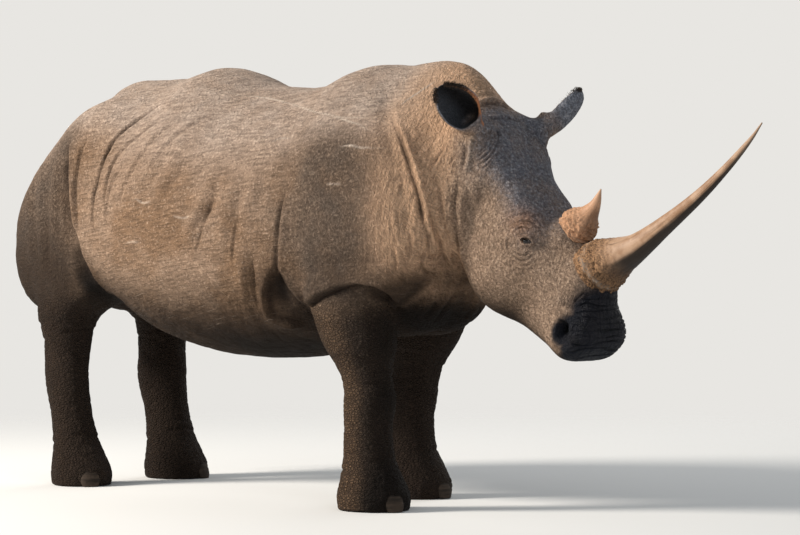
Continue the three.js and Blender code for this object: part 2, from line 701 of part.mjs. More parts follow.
// ---------------------------------------------------------------- parting the hide
const NECK_PLANE = [[290, 0, 1320], [0.894, 0, 0.447]];
const HEAD_PLANE = [[532, 0, 1200], [0.998, 0, 0.06]];
const JAW_PLANES = [
  [onHead(745, -200), direction(1, 0.6)],
  [onHead(1000, -112), direction(0.385, -0.923)]];
const LEG_CUTS = {
  leg_front_right: { x: [-160, 420], inner: 640, outer: 800 },
  leg_front_left: { x: [-345, 150], inner: 560, outer: 740 },
  leg_hind_right: { x: [-1880, -1340], inner: 735, outer: 790 },
  leg_hind_left: { x: [-1880, -1340], inner: 735, outer: 790 },
};

/** Direction in the mid plane given along and out of the head. */
function direction(s, t) {
  const from = onHead(0, 0);
  return onHead(s, t).map((v, i) => v - from[i]);
}

function facing([point, normal], grow) {
  return behind(point, normal, grow);
}

function ahead([point, normal], grow) {
  return behind(point, normal.map((v) => -v), grow);
}

/** Room taken by a leg: under a sloping plane, outside the chest, within a stretch of the body. */
function legRoom(leg, grow) {
  const cut = LEG_CUTS[leg.name];
  const slope = (cut.outer - cut.inner) / 270;
  return wedge([
    [[0, leg.side * 150, cut.inner], [0, -slope * leg.side, 1]],
    [[0, leg.side * 90, 0], [0, -leg.side, 0]],
    [[cut.x[0], 0, 0], [-1, 0, 0]],
    [[cut.x[1], 0, 0], [1, 0, 0]],
  ], grow);
}

function wholeHide() {
  const floor = behind([0, 0, 0], [0, 0, -1], 0);
  const bodyShape = (x, y, z) => Math.max(hide(x, y, z), x - 640);
  const headOnly = (x, y, z) => Math.max(headDetail(x, y, z), 480 - x);
  const body = thinned(meshShape(bodyShape, [-2110, -620, -70], [700, 620, 1830], HIDE_CELL),
    HIDE_FACETS, () => 1);
  const head = thinned(meshShape(headOnly, [440, -360, 560], [1270, 360, 1820], HEAD_CELL),
    HEAD_FACETS, headWeight);
  return { body: solidOf(body).intersect(floor), head: solidOf(head) };
}

/** The hide with the nostrils let in. */
function headDetail(x, y, z) {
  const d = hide(x, y, z);
  const pit = mass(x, Math.abs(y), z, onHead(924, -68, 136), [44, 34, 38], 2, HEAD_PITCH - 25);
  return smoothMax(d, -pit, 14);
}

/** Facets are kept closer together toward the muzzle. */
function headWeight(p) {
  return p[0] > 800 ? 3 : 1;
}

function build() {
  const { body, head } = wholeHide();
  const half = GAP / 2;
  const solids = new Map();
  let trunk = body.intersect(facing(NECK_PLANE, -half));
  for (const leg of LEGS) {
    solids.set(leg.name, body.intersect(legRoom(leg, 0)));
    trunk = trunk.subtract(legRoom(leg, GAP));
  }
  solids.set('trunk', trunk.subtract(tail(GAP)));
  solids.set('tail', tail());
  solids.set('neck', body.intersect(ahead(NECK_PLANE, -half)).intersect(facing(HEAD_PLANE, -half)));
  let skull = head.intersect(ahead(HEAD_PLANE, -half));
  solids.set('jaw', skull.intersect(ahead(JAW_PLANES[0], -half)).intersect(ahead(JAW_PLANES[1], -half)));
  skull = skull.subtract(ahead(JAW_PLANES[0], half).intersect(ahead(JAW_PLANES[1], half)));
  addHeadParts(solids, skull);
  addNails(solids);
  return solids;
}

function addHeadParts(solids, skull) {
  let carved = skull;
  for (const name of ['left', 'right']) {
    const side = name === 'left' ? 1 : -1;
    solids.set(`ear_${name}`, ear(name));
    solids.set(`eye_${name}`, eye(side));
    carved = carved.subtract(ear(name, GAP)).subtract(eye(side, GAP));
  }
  solids.set('horn_front', horn(FRONT_HORN));
  solids.set('horn_rear', horn(REAR_HORN));
  carved = carved.subtract(horn(FRONT_HORN, GAP)).subtract(horn(REAR_HORN, GAP));
  solids.set('head', carved);
}

function addNails(solids) {
  for (const leg of LEGS) {
    NAIL_SPREAD.forEach((turn, i) => {
      const name = leg.name.replace('leg', 'toenail') + '_' + (i + 1);
      solids.set(name, nail(leg, turn));
      solids.set(leg.name, solids.get(leg.name).subtract(nail(leg, turn, GAP)));
    });
  }
}

// ---------------------------------------------------------------- looks
const LOOKS = {
  hide: { color: 0x8c7560, roughness: 0.85 },
  ear: { color: 0x80695a, roughness: 0.85 },
  horn: { color: 0x7d6349, roughness: 0.6 },
  nail: { color: 0x6e5c4a, roughness: 0.6 },
  eye: { color: 0x1c130d, roughness: 0.15 },
};

function lookOf(name) {
  const kind = name.split('_')[0];
  if (kind === 'toenail') return LOOKS.nail;
  return LOOKS[kind] || LOOKS.hide;
}

function meshOf(name, solid) {
  const { vertProperties, triVerts } = solid.getMesh();
  const geometry = new THREE.BufferGeometry();
  geometry.setAttribute('position', new THREE.BufferAttribute(new Float32Array(vertProperties), 3));
  geometry.setIndex(new THREE.BufferAttribute(new Uint32Array(triVerts), 1));
  geometry.computeVertexNormals();
  const mesh = new THREE.Mesh(geometry, new THREE.MeshStandardMaterial({ metalness: 0, ...lookOf(name) }));
  mesh.name = name;
  return mesh;
}

/** The finished group, moved so that the origin is on the floor under the middle of the animal. */
function rhinoceros() {
  const group = new THREE.Group();
  group.name = 'white_rhinoceros';
  build().forEach((solid, name) => group.add(meshOf(name, solid)));
  const box = new THREE.Box3().setFromObject(group);
  const shift = [-(box.min.x + box.max.x) / 2, -(box.min.y + box.max.y) / 2, -box.min.z];
  group.children.forEach((mesh) => mesh.geometry.translate(...shift));
  return group;
}

export default rhinoceros();
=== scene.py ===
"""White rhinoceros, standing, life size: its skin, horns, eyes, toenails and hair, and its room.

Metres, +Z up, the animal faces +X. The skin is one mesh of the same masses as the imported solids. It is
worked out in the animal's own frame, where x = 0 is the line of the front legs, and moved into the row's.
"""
import math
import bpy
import numpy as np
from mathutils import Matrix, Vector

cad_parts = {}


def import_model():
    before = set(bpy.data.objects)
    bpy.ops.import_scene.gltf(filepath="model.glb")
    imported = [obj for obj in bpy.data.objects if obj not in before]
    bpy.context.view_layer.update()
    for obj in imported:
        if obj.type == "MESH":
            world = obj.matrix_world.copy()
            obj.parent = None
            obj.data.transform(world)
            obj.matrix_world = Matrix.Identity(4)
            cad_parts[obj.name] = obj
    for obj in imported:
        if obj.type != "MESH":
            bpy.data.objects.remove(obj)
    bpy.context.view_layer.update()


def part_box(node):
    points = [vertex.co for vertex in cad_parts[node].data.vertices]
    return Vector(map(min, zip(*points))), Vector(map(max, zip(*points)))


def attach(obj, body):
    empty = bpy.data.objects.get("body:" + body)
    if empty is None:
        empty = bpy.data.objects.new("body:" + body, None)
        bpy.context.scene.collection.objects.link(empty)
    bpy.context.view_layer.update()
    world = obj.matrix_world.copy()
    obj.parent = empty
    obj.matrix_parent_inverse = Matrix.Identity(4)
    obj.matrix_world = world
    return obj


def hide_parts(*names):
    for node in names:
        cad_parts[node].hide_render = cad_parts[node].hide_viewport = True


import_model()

# ---------------------------------------------------------------- curves and blends


def curve(*points):
    """Smooth curve through (position, value) pairs, as a function of arrays."""
    xs, ys = (np.array(c, float) for c in zip(*points))
    rise = np.diff(ys) / np.diff(xs)
    steep = np.zeros(len(xs))
    steep[0], steep[-1] = rise[0], rise[-1]
    for i in range(1, len(xs) - 1):
        if rise[i - 1] * rise[i] > 0:
            before, after = xs[i] - xs[i - 1], xs[i + 1] - xs[i]
            w1, w2 = 2 * after + before, after + 2 * before
            steep[i] = (w1 + w2) / (w1 / rise[i - 1] + w2 / rise[i])
    t = np.linspace(xs[0], xs[-1], 600)
    i = np.clip(np.searchsorted(xs, t, side="right") - 1, 0, len(xs) - 2)
    h = xs[i + 1] - xs[i]
    s = (t - xs[i]) / h
    v = ((1 + 2 * s) * (1 - s) ** 2 * ys[i] + s * (1 - s) ** 2 * h * steep[i]
         + s * s * (3 - 2 * s) * ys[i + 1] + s * s * (s - 1) * h * steep[i + 1])
    window = np.hanning(31)
    padded = np.concatenate([2 * v[0] - v[15:0:-1], v, 2 * v[-1] - v[-2:-17:-1]])
    v = np.convolve(padded, window / window.sum(), "valid")
    return lambda x: np.interp(x, t, v)


def loft_table(*rows):
    """Curves over the first column for each of the other columns."""
    columns = list(zip(*rows))
    return rows[-1][0], [curve(*zip(columns[0], c)) for c in columns[1:]]


def smooth_min(a, b, k):
    """The smaller of two fields, rounded where they meet over the width k."""
    h = np.maximum(k - np.abs(a - b), 0) / k
    return np.minimum(a, b) - h * h * k * 0.25


def smooth_max(a, b, k):
    return -smooth_min(-a, -b, k)


def ease(x, low, high):
    """0 below low, 1 above high, smooth between; low may be the larger one."""
    t = np.clip((x - low) / (high - low), 0, 1)
    return t * t * (3 - 2 * t)


def bell(x, width):
    """1 at 0, falling to nothing over about twice the width."""
    return np.exp(-(x / width) ** 2)


def most(*values):
    """The largest of several arrays, place by place."""
    return np.maximum.reduce(values)


def unit(v):
    v = np.asarray(v, float)
    return v / np.linalg.norm(v, axis=-1, keepdims=True)


def section(u, v, half, up, down, n_up, n_down):
    """Signed value of a rounded section: v up the section, u across it."""
    reach = np.where(v > 0, up, down)
    n = np.where(v > 0, n_up, n_down)
    rho = ((np.abs(u) / half) ** n + (np.abs(v) / reach) ** n) ** (1 / n)
    return np.hypot(u, v) * (1 - 1 / np.maximum(rho, 1e-4))


def mass(p, at, r, n=2.0, pitch=0.0):
    """Signed value of a rounded mass, pitched nose-down about y."""
    a = math.radians(pitch)
    dx, dy, dz = p[0] - at[0], p[1] - at[1], p[2] - at[2]
    px = dx * math.cos(a) - dz * math.sin(a)
    pz = dx * math.sin(a) + dz * math.cos(a)
    if n == 2:
        rho = np.sqrt((px / r[0]) ** 2 + (dy / r[1]) ** 2 + (pz / r[2]) ** 2)
    else:
        rho = (np.abs(px / r[0]) ** n + np.abs(dy / r[1]) ** n + np.abs(pz / r[2]) ** n) ** (1 / n)
    return np.sqrt(dx * dx + dy * dy + dz * dz) * (1 - 1 / np.maximum(rho, 1e-4))


def off_mid(y):
    """Distance from the mid plane, rounded so that paired masses meet without a crease."""
    return np.sqrt(y * y + 0.0009)


def smooth_path(points, count):
    """Evenly spaced points on a smooth curve through a few given ones."""
    p = np.array(points, float)
    p = np.vstack([2 * p[0] - p[1], p, 2 * p[-1] - p[-2]])
    t = np.linspace(0, 1, 24, endpoint=False)[:, None]
    spans = []
    for a, b, c, d in zip(p[:-3], p[1:-2], p[2:-1], p[3:]):
        spans.append(0.5 * (2 * b + (c - a) * t + (2 * a - 5 * b + 4 * c - d) * t ** 2
                            + (3 * b - a - 3 * c + d) * t ** 3))
    dense = np.vstack(spans + [p[-2:-1]])
    along = np.concatenate([[0], np.cumsum(np.linalg.norm(np.diff(dense, axis=0), axis=1))])
    want = np.linspace(0, along[-1], count)
    return np.stack([np.interp(want, along, dense[:, i]) for i in range(dense.shape[1])], 1)


# ---------------------------------------------------------------- sizes of the animal
# section of the trunk along x: back, belly, half width, height of its widest line, squareness of the back
TRUNK_TOP = curve((-2.03, 1.19), (-1.98, 1.31), (-1.9, 1.405), (-1.78, 1.52), (-1.65, 1.645),
    (-1.56, 1.705), (-1.48, 1.715), (-1.37, 1.715), (-1.2, 1.717), (-1.08, 1.74), (-0.97, 1.762),
    (-0.84, 1.737), (-0.66, 1.68), (-0.45, 1.67), (-0.3, 1.68), (-0.15, 1.708), (0, 1.748),
    (0.18, 1.748), (0.3, 1.738), (0.42, 1.695), (0.54, 1.575), (0.66, 1.422), (0.8, 1.27))
TRUNK_BOTTOM = curve((-2.03, 0.98), (-1.95, 0.88), (-1.8, 0.81), (-1.6, 0.8), (-1.45, 0.79),
    (-1.34, 0.745), (-1.24, 0.665), (-1.05, 0.603), (-0.85, 0.57), (-0.6, 0.562), (-0.4, 0.578),
    (-0.25, 0.612), (-0.15, 0.65), (0.1, 0.695), (0.25, 0.755), (0.38, 0.855), (0.52, 0.98),
    (0.8, 1.07))
TRUNK_HALF = curve((-2.03, 0.075), (-1.98, 0.16), (-1.88, 0.245), (-1.72, 0.32), (-1.5, 0.4),
    (-1.3, 0.46), (-1.1, 0.505), (-0.85, 0.535), (-0.6, 0.53), (-0.4, 0.505), (-0.2, 0.46), (0, 0.41),
    (0.2, 0.365), (0.4, 0.315), (0.6, 0.25), (0.8, 0.2))
TRUNK_MID = curve((-2.03, 1.08), (-1.8, 1.1), (-1.5, 1.1), (-1.1, 1.05), (-0.7, 1.03), (-0.3, 1.06),
    (0.1, 1.12), (0.4, 1.2), (0.8, 1.17))
TRUNK_ROOF = curve((-2.03, 1.85), (-1.7, 1.62), (-1.4, 1.75), (-1, 1.9), (0.8, 1.9))
TRUNK_ENDS = (-2.03, 0.62)

# the head hangs from the poll; s runs from the poll to the lips, t out of the forehead, and the section
# along s is given by its front, back, half width, middle and squareness
POLL = (0.6, 0.0, 1.53)
HEAD_PITCH = 57.0
HEAD_START = -0.12
HEAD_LENGTH = 1.025
HEAD_FRONT = curve((-0.12, -0.065), (-0.05, -0.025), (0.02, 0.005), (0.12, 0.03), (0.28, 0.038),
    (0.42, 0.04), (0.5, 0.05), (0.58, 0.074), (0.68, 0.106), (0.76, 0.115), (0.84, 0.095),
    (0.91, 0.066), (0.965, 0.03), (1.025, -0.03))
HEAD_BACK = curve((-0.12, -0.2), (0.1, -0.3), (0.3, -0.36), (0.45, -0.4), (0.56, -0.398),
    (0.65, -0.368), (0.75, -0.312), (0.85, -0.257), (0.93, -0.212), (0.98, -0.172), (1.025, -0.125))
HEAD_HALF = curve((-0.12, 0.125), (0, 0.165), (0.12, 0.194), (0.22, 0.188), (0.33, 0.174),
    (0.43, 0.175), (0.54, 0.188), (0.6, 0.178), (0.66, 0.156), (0.75, 0.137), (0.85, 0.132),
    (0.95, 0.14), (0.99, 0.137), (1.025, 0.122))
HEAD_MID = curve((-0.12, -0.08), (0.1, -0.09), (0.3, -0.12), (0.5, -0.13), (0.65, -0.11),
    (0.8, -0.075), (0.95, -0.085), (1.025, -0.085))
HEAD_ROUND = curve((-0.12, 2.2), (0.13, 2.9), (0.3, 2.3), (0.45, 2), (0.6, 1.95), (0.8, 2),
    (0.92, 2.4), (1.025, 2.8))

# legs over height: forward offset, outward offset, half length, half width
HIND_LEG = loft_table((0, 0, 0, 0.132, 0.122), (0.05, 0, 0, 0.138, 0.128),
    (0.11, -0.01, 0, 0.125, 0.115), (0.19, -0.035, 0, 0.105, 0.095), (0.3, -0.06, 0, 0.098, 0.085),
    (0.4, -0.085, 0, 0.11, 0.085), (0.47, -0.092, 0, 0.114, 0.087), (0.56, -0.09, 0, 0.106, 0.092),
    (0.64, -0.088, 0, 0.112, 0.103), (0.7, -0.084, 0, 0.132, 0.12), (0.75, -0.07, -0.01, 0.165, 0.135),
    (0.8, -0.04, -0.02, 0.205, 0.145), (0.87, -0.015, -0.03, 0.25, 0.155), (1, 0, -0.04, 0.28, 0.165),
    (1.12, 0, -0.05, 0.26, 0.15))
FORE_LEG = loft_table((0, 0, 0, 0.145, 0.135), (0.05, 0, 0, 0.15, 0.14),
    (0.12, -0.008, 0, 0.13, 0.122), (0.21, -0.025, 0, 0.103, 0.1), (0.32, -0.03, 0, 0.098, 0.094),
    (0.42, -0.02, 0, 0.106, 0.101), (0.5, -0.015, 0, 0.1, 0.095), (0.56, -0.015, 0, 0.112, 0.106),
    (0.62, -0.015, 0, 0.14, 0.13), (0.7, -0.015, 0, 0.163, 0.148), (0.84, -0.01, 0, 0.185, 0.16),
    (0.98, 0, 0.01, 0.195, 0.155), (1.08, 0, 0.03, 0.19, 0.14))
LEAN_FROM = 0.45                    # height from which a front leg leans
LEGS = {
    "front_right": dict(side=-1, foot=(0.172, -0.285), table=FORE_LEG, splay=8, lean=-0.3, blend=0.035),
    "front_left": dict(side=1, foot=(-0.145, 0.270), table=FORE_LEG, splay=8, lean=0.3, blend=0.035),
    "hind_right": dict(side=-1, foot=(-1.6, -0.275), table=HIND_LEG, splay=20, lean=0, blend=0.05),
    "hind_left": dict(side=1, foot=(-1.612, 0.275), table=HIND_LEG, splay=20, lean=0, blend=0.05),
}

# paired masses of the trunk: centre, radii, squareness, pitch, blend width
TRUNK_MASSES = {
    "nape": ((0.325, 0, 1.592), (0.185, 0.115, 0.155), 2, 0, 0.1),
    "blade": ((-0.02, 0.12, 1.42), (0.24, 0.17, 0.28), 2, -15, 0.14),
    "hip": ((-1.43, 0.24, 1.44), (0.25, 0.15, 0.17), 2, 0, 0.12),
    "thigh": ((-1.61, 0.235, 1.105), (0.3, 0.185, 0.365), 2.2, 0, 0.12),
    "buttock": ((-1.825, 0.19, 1.02), (0.198, 0.178, 0.3), 2.3, 8, 0.1),
    "brisket": ((0.172, 0.1, 0.88), (0.2, 0.17, 0.19), 2, 0, 0.12),
}
SHOULDER = ((0.12, 0.26, 1.17), (0.37, 0.2, 0.37), 2.4, -18)

# paired masses of the head: s, t and distance from the mid plane, radii, squareness, blend width
HEAD_MASSES = {
    "cheek": ((0.49, -0.23, 0.085), (0.2, 0.105, 0.16), 2.2, 0.1),
    "brow": ((0.445, -0.055, 0.114), (0.13, 0.055, 0.065), 2, 0.08),
    "lip": ((0.93, -0.07, 0.052), (0.095, 0.09, 0.098), 2.6, 0.05),
    "front_boss": ((0.762, 0.052, 0), (0.122, 0.112, 0.082), 2, 0.05),
    "rear_boss": ((0.58, 0.06, 0), (0.085, 0.085, 0.05), 2, 0.05),
    "ear_root": ((0.05, -0.05, 0.15), (0.085, 0.06, 0.075), 2, 0.05),
}

EYE_RADIUS = 0.024
EYE_AT = dict(s=0.545, t=-0.022, sunk=0.014)
LID_THICKNESS = 0.004
OPENING_HALF = 0.0185               # half the length of the opening between the lids
OPENING_BACK = 0.005                # how far the opening's middle lies behind the eye's
NOSTRIL_AT = dict(s=0.925, t=-0.068)
EAR_ROOT = (0.612, 0.15, 1.458)
EAR_LENGTH = 0.306
EAR_AXIS = {1: (0.168, 0.759, 0.629), -1: (0.066, -0.775, 0.629)}
EAR_OPENING = {1: (-0.6, -0.42, 0.68), -1: (0.81, -0.35, -0.47)}
EAR_BOW = {1: (0, -0.005), -1: (-0.013, 0)}
EAR_HALF_WIDTH = curve((0, 0.042), (0.2, 0.046), (0.36, 0.064), (0.55, 0.08), (0.72, 0.075),
    (0.88, 0.05), (1, 0.012))
EAR_HALF_DEPTH = curve((0, 0.044), (0.25, 0.05), (0.5, 0.056), (0.75, 0.05), (0.9, 0.038), (1, 0.013))
EAR_WALL = curve((0, 0.016), (0.4, 0.013), (0.8, 0.01), (1, 0.009))
TAIL_PATH = [(-1.95, 0, 1.322), (-2.005, 0, 1.305), (-2.055, 0, 1.235), (-2.08, 0, 1.11),
    (-2.082, 0, 0.96), (-2.074, 0, 0.85), (-2.064, 0, 0.752)]
TAIL_RADIUS = curve((0, 0.046), (0.15, 0.042), (0.35, 0.027), (0.6, 0.019), (0.78, 0.016), (0.9, 0.014),
    (1, 0.009))

# ---------------------------------------------------------------- the hide as a field
TILT = math.radians(HEAD_PITCH)
ALONG_HEAD = np.array((math.cos(TILT), 0, -math.sin(TILT)))
OUT_OF_HEAD = np.array((math.sin(TILT), 0, math.cos(TILT)))


def on_head(s, t, y=0.0):
    """Point given along and out of the head, and off its mid plane."""
    return np.array(POLL) + s * ALONG_HEAD + t * OUT_OF_HEAD + np.array((0, y, 0))


def head_axes(p):
    """Distance of points along the head and out of it."""
    dx, dz = p[0] - POLL[0], p[2] - POLL[2]
    return (dx * ALONG_HEAD[0] + dz * ALONG_HEAD[2], dx * OUT_OF_HEAD[0] + dz * OUT_OF_HEAD[2])


def blend_in(d, p, shape, low, high, k):
    """Joins a form to the field d, worked out only in the box where it can reach."""
    far = 0.1 + np.max(k)
    near = np.ones(len(d), bool)
    for c, a, b in zip(p, low, high):
        near &= (c > a - far) & (c < b + far)
    if near.any():
        width = k[near] if np.ndim(k) else k
        d[near] = smooth_min(d[near], shape([c[near] for c in p]), width)


def blend_mass(d, p, at, r, n, pitch, k):
    """Joins a rounded mass and its mirror image to the field d."""
    reach = max(r) if pitch else np.array(r)
    q = [p[0], off_mid(p[1]), p[2]]
    blend_in(d, q, lambda c: mass(c, at, r, n, pitch), np.array(at) - reach, np.array(at) + reach, k)


def trunk_form(p):
    along = np.clip(p[0], TRUNK_ENDS[0], 0.75)
    mid = TRUNK_MID(along)
    d = section(p[1], p[2] - mid, TRUNK_HALF(along), TRUNK_TOP(along) - mid, mid - TRUNK_BOTTOM(along),
                TRUNK_ROOF(along), 2.15)
    return smooth_max(smooth_max(d, p[0] - TRUNK_ENDS[1], 0.08), TRUNK_ENDS[0] - p[0], 0.04)


def leg_form(p, leg):
    top, (forward, out, length, width) = leg["table"]
    h = np.clip(p[2], 0, top)
    turn = np.clip(1.2 - h / 0.9, 0, 1) * math.radians(leg["splay"]) * leg["side"]
    dx = p[0] - leg["foot"][0] - forward(h) - leg["lean"] * np.maximum(h - LEAN_FROM, 0)
    dy = p[1] - leg["foot"][1] - leg["side"] * out(h)
    u = np.cos(turn) * dx + np.sin(turn) * dy
    v = -np.sin(turn) * dx + np.cos(turn) * dy
    w = width(h)
    return smooth_max(section(u, v, length(h), w, w, 2.15, 2.15), p[2] - top + 0.02, 0.08)


def ear_frame(side):
    """Root, axis, direction across and direction of the opening of an ear."""
    axis = unit(EAR_AXIS[side])
    opening = np.array(EAR_OPENING[side])
    opening = unit(opening - opening @ axis * axis)
    return np.array((EAR_ROOT[0], side * EAR_ROOT[1], EAR_ROOT[2])), axis, np.cross(opening, axis), opening


def ear_axes(p, side):
    """Distance along an ear, and across it and toward its opening from its bowed middle line."""
    root, *axes = ear_frame(side)
    u, a, b = [sum((p[i] - root[i]) * d[i] for i in range(3)) for d in axes]
    bow = np.sin(math.pi * np.clip(u / EAR_LENGTH, 0, 1))
    return u, a - EAR_BOW[side][0] * bow, b - EAR_BOW[side][1] * bow


def ear_form(p, side):
    """A cup on a stalk: an oval bar, hollowed from the front, with a rounded rim."""
    u, a, b = ear_axes(p, side)
    q = np.clip(u / EAR_LENGTH, 0, 1)
    w, depth, wall = EAR_HALF_WIDTH(q), EAR_HALF_DEPTH(q), EAR_WALL(q)
    outer = section(a, b, w, depth, depth, 2, 2)
    inner = section(a, b, np.maximum(w - wall, 0.002), depth, np.maximum(depth - wall, 0.002), 2, 2)
    room = smooth_min(inner, 0.38 * depth - b, 0.012)
    room = smooth_max(room, 0.3 * EAR_LENGTH + 0.35 * b - u, 0.03)
    d = smooth_max(outer, -room, 0.007)
    return smooth_max(smooth_max(d, u - 0.985 * EAR_LENGTH, 0.012), -0.05 - u, 0.02)


def head_form(p):
    s, t = head_axes(p)
    along = np.clip(s, HEAD_START, HEAD_LENGTH)
    mid = HEAD_MID(along)
    d = section(p[1], t - mid, HEAD_HALF(along), HEAD_FRONT(along) - mid, mid - HEAD_BACK(along),
                HEAD_ROUND(along), 2.3)
    d = smooth_max(d, s - HEAD_LENGTH + 0.02, 0.05)
    d = smooth_max(d, HEAD_START - s, 0.1)
    for at, r, n, k in HEAD_MASSES.values():
        blend_mass(d, p, on_head(*at), r, n, HEAD_PITCH, k)
    return d


def tail_form(p):
    path = smooth_path(TAIL_PATH, 60)
    share = np.linspace(0, 1, 60)
    gaps = np.sqrt(sum((p[i][:, None] - path[None, :, i]) ** 2 for i in range(3)))
    return (gaps - TAIL_RADIUS(share)[None]).min(1)


def hide(p, extras=True):
    """The whole hide: negative inside, zero on the surface. Extras are ears and tail."""
    p = [np.asarray(c) for c in p]
    d = trunk_form(p)
    for at, r, n, pitch, k in TRUNK_MASSES.values():
        blend_mass(d, p, at, r, n, pitch, k)
    blend_mass(d, p, *SHOULDER, np.clip((p[2] - 0.95) * 0.25, 0.03, 0.14))
    for leg in LEGS.values():
        x, y = leg["foot"]
        blend_in(d, p, lambda c: leg_form(c, leg), (x - 0.42, y - 0.25, -0.1), (x + 0.42, y + 0.25, 1.12),
                 leg["blend"])
    width = np.clip(0.035 + (p[2] - 1.15) * 0.25, 0.035, 0.12)
    blend_in(d, p, head_form, (0.3, -0.3, 0.55), (1.4, 0.3, 1.7), width)
    if extras:
        for side in (-1, 1):
            root, axis = ear_frame(side)[:2]
            ends = np.stack([root, root + EAR_LENGTH * axis])
            blend_in(d, p, lambda c: ear_form(c, side), ends.min(0) - 0.05, ends.max(0) + 0.05, 0.03)
        blend_in(d, p, tail_form, (-2.1, -0.05, 0.74), (-1.93, 0.05, 1.36), 0.035)
    return smooth_max(d, -p[2], 0.012)


def slope(p, e=0.0005):
    """Value and gradient of the hide at points."""
    here = hide(p)
    steps = [hide([c + e if i == j else c for j, c in enumerate(p)]) for i in range(3)]
    return here, np.stack([(v - here) / e for v in steps], 1)


def settle(points):
    """Points moved onto the surface of the hide, and its outward directions there."""
    value, g = slope(list(points.T))
    steep = np.maximum((g * g).sum(1), 0.04)
    points = points - np.clip(value / steep, -0.006, 0.006)[:, None] * g
    again = hide(list(points.T))
    points = points - np.clip(again / steep, -0.003, 0.003)[:, None] * g
    return points, unit(g)


# ---------------------------------------------------------------- meshing the hide
BODY_CELL = 0.009
HEAD_CELL = 0.0042
NECK_CUT = 0.40                     # the finer mesh of the head starts here
BLOCK = 5                           # grid cells to a block of the first, coarse pass
# the longest edges wanted: at folds, at the head's small parts, at the nostrils and at the lids
FOLD_EDGE, FINE_EDGE, NOSE_EDGE, LID_EDGE = 0.0068, 0.0036, 0.0032, 0.0018


def sample(low, high, cell):
    """The hide on a grid, worked out in full only in the blocks near the surface."""
    n = (np.ceil((np.array(high) - low) / cell / BLOCK).astype(int)) * BLOCK + 1
    axes = [low[i] + cell * np.arange(n[i]) for i in range(3)]
    coarse = np.meshgrid(*[a[::BLOCK] for a in axes], indexing="ij")
    rough = hide([c.ravel() for c in coarse]).reshape(coarse[0].shape)
    full = rough.astype(np.float32)
    for i in range(3):
        full = np.repeat(full, BLOCK, i)
    full = np.ascontiguousarray(full[:n[0], :n[1], :n[2]])
    close = np.abs(rough) < cell * BLOCK * 1.6
    block = np.zeros([m - 1 for m in rough.shape], bool)
    for i, j, k in np.ndindex(2, 2, 2):
        block |= close[i:i + block.shape[0], j:j + block.shape[1], k:k + block.shape[2]]
    corner = np.argwhere(block) * BLOCK
    inner = np.stack(np.meshgrid(*[np.arange(BLOCK + 1)] * 3, indexing="ij"), -1).reshape(-1, 3)
    flat = np.unique(np.ravel_multi_index((corner[:, None] + inner[None]).reshape(-1, 3).T, full.shape))
    at = np.unravel_index(flat, full.shape)
    full.ravel()[flat] = hide([axes[i][at[i]] for i in range(3)])
    return full, np.array(low)


def surface_net(full, low, cell):
    """One point to each cell the surface passes, and a four-sided face to each edge that it crosses."""
    inside = full < 0
    n = [m - 1 for m in full.shape]
    count = np.zeros(n, np.int8)
    for i, j, k in np.ndindex(2, 2, 2):
        count += inside[i:n[0] + i, j:n[1] + j, k:n[2] + k]
    passed = (count > 0) & (count < 8)
    cells = np.argwhere(passed)
    owner = np.full(n, -1, np.int64)
    owner[passed] = np.arange(len(cells))
    total = np.zeros((len(cells), 3))
    weight = np.zeros(len(cells))
    for corner in np.ndindex(2, 2, 2):
        for axis in range(3):
            if corner[axis]:
                continue
            other = list(corner)
            other[axis] = 1
            a = full[tuple((cells + corner).T)]
            b = full[tuple((cells + other).T)]
            cross = (a < 0) != (b < 0)
            place = np.tile(np.array(corner, float), (len(cells), 1))
            place[:, axis] = np.where(cross, a / np.where(cross, a - b, 1), 0)
            total += place * cross[:, None]
            weight += cross
    points = (cells + total / weight[:, None]) * cell + low
    faces = []
    for axis in range(3):
        b, c = (axis + 1) % 3, (axis + 2) % 3
        first, second = [slice(None)] * 3, [slice(None)] * 3
        first[axis], second[axis] = slice(0, -1), slice(1, None)
        near, far = inside[tuple(first)], inside[tuple(second)]
        e = np.argwhere(near != far)
        e = e[(e[:, b] > 0) & (e[:, c] > 0) & (e[:, b] < n[b]) & (e[:, c] < n[c])]
        ring = []
        for db, dc in ((-1, -1), (0, -1), (0, 0), (-1, 0)):
            q = e.copy()
            q[:, b] += db
            q[:, c] += dc
            ring.append(owner[tuple(q.T)])
        ring = np.stack(ring, 1)
        out = near[tuple(e.T)]
        ring[~out] = ring[~out][:, ::-1]
        faces.append(ring)
    return points, np.concatenate(faces)


def halved(points, quads):
    """Four-sided faces cut along their shorter diagonal."""
    a, b, c, d = (points[quads[:, i]] for i in range(4))
    short = np.linalg.norm(a - c, axis=1) < np.linalg.norm(b - d, axis=1)
    one, two = quads[short], quads[~short]
    return np.concatenate([one[:, [0, 1, 2]], one[:, [0, 2, 3]], two[:, [0, 1, 3]], two[:, [1, 2, 3]]])


def open_ring(faces, points, centre):
    """Points of the open edge of a mesh, in order round the centre."""
    e = faces[:, [0, 1, 1, 2, 2, 0]].reshape(-1, 2)
    key = np.sort(e, 1) @ np.array([len(points), 1])
    _, first, times = np.unique(key, return_index=True, return_counts=True)
    ring = np.unique(e[first[times == 1]])
    angle = np.arctan2(points[ring, 2] - centre[1], points[ring, 1] - centre[0])
    order = np.argsort(angle)
    return ring[order], angle[order]


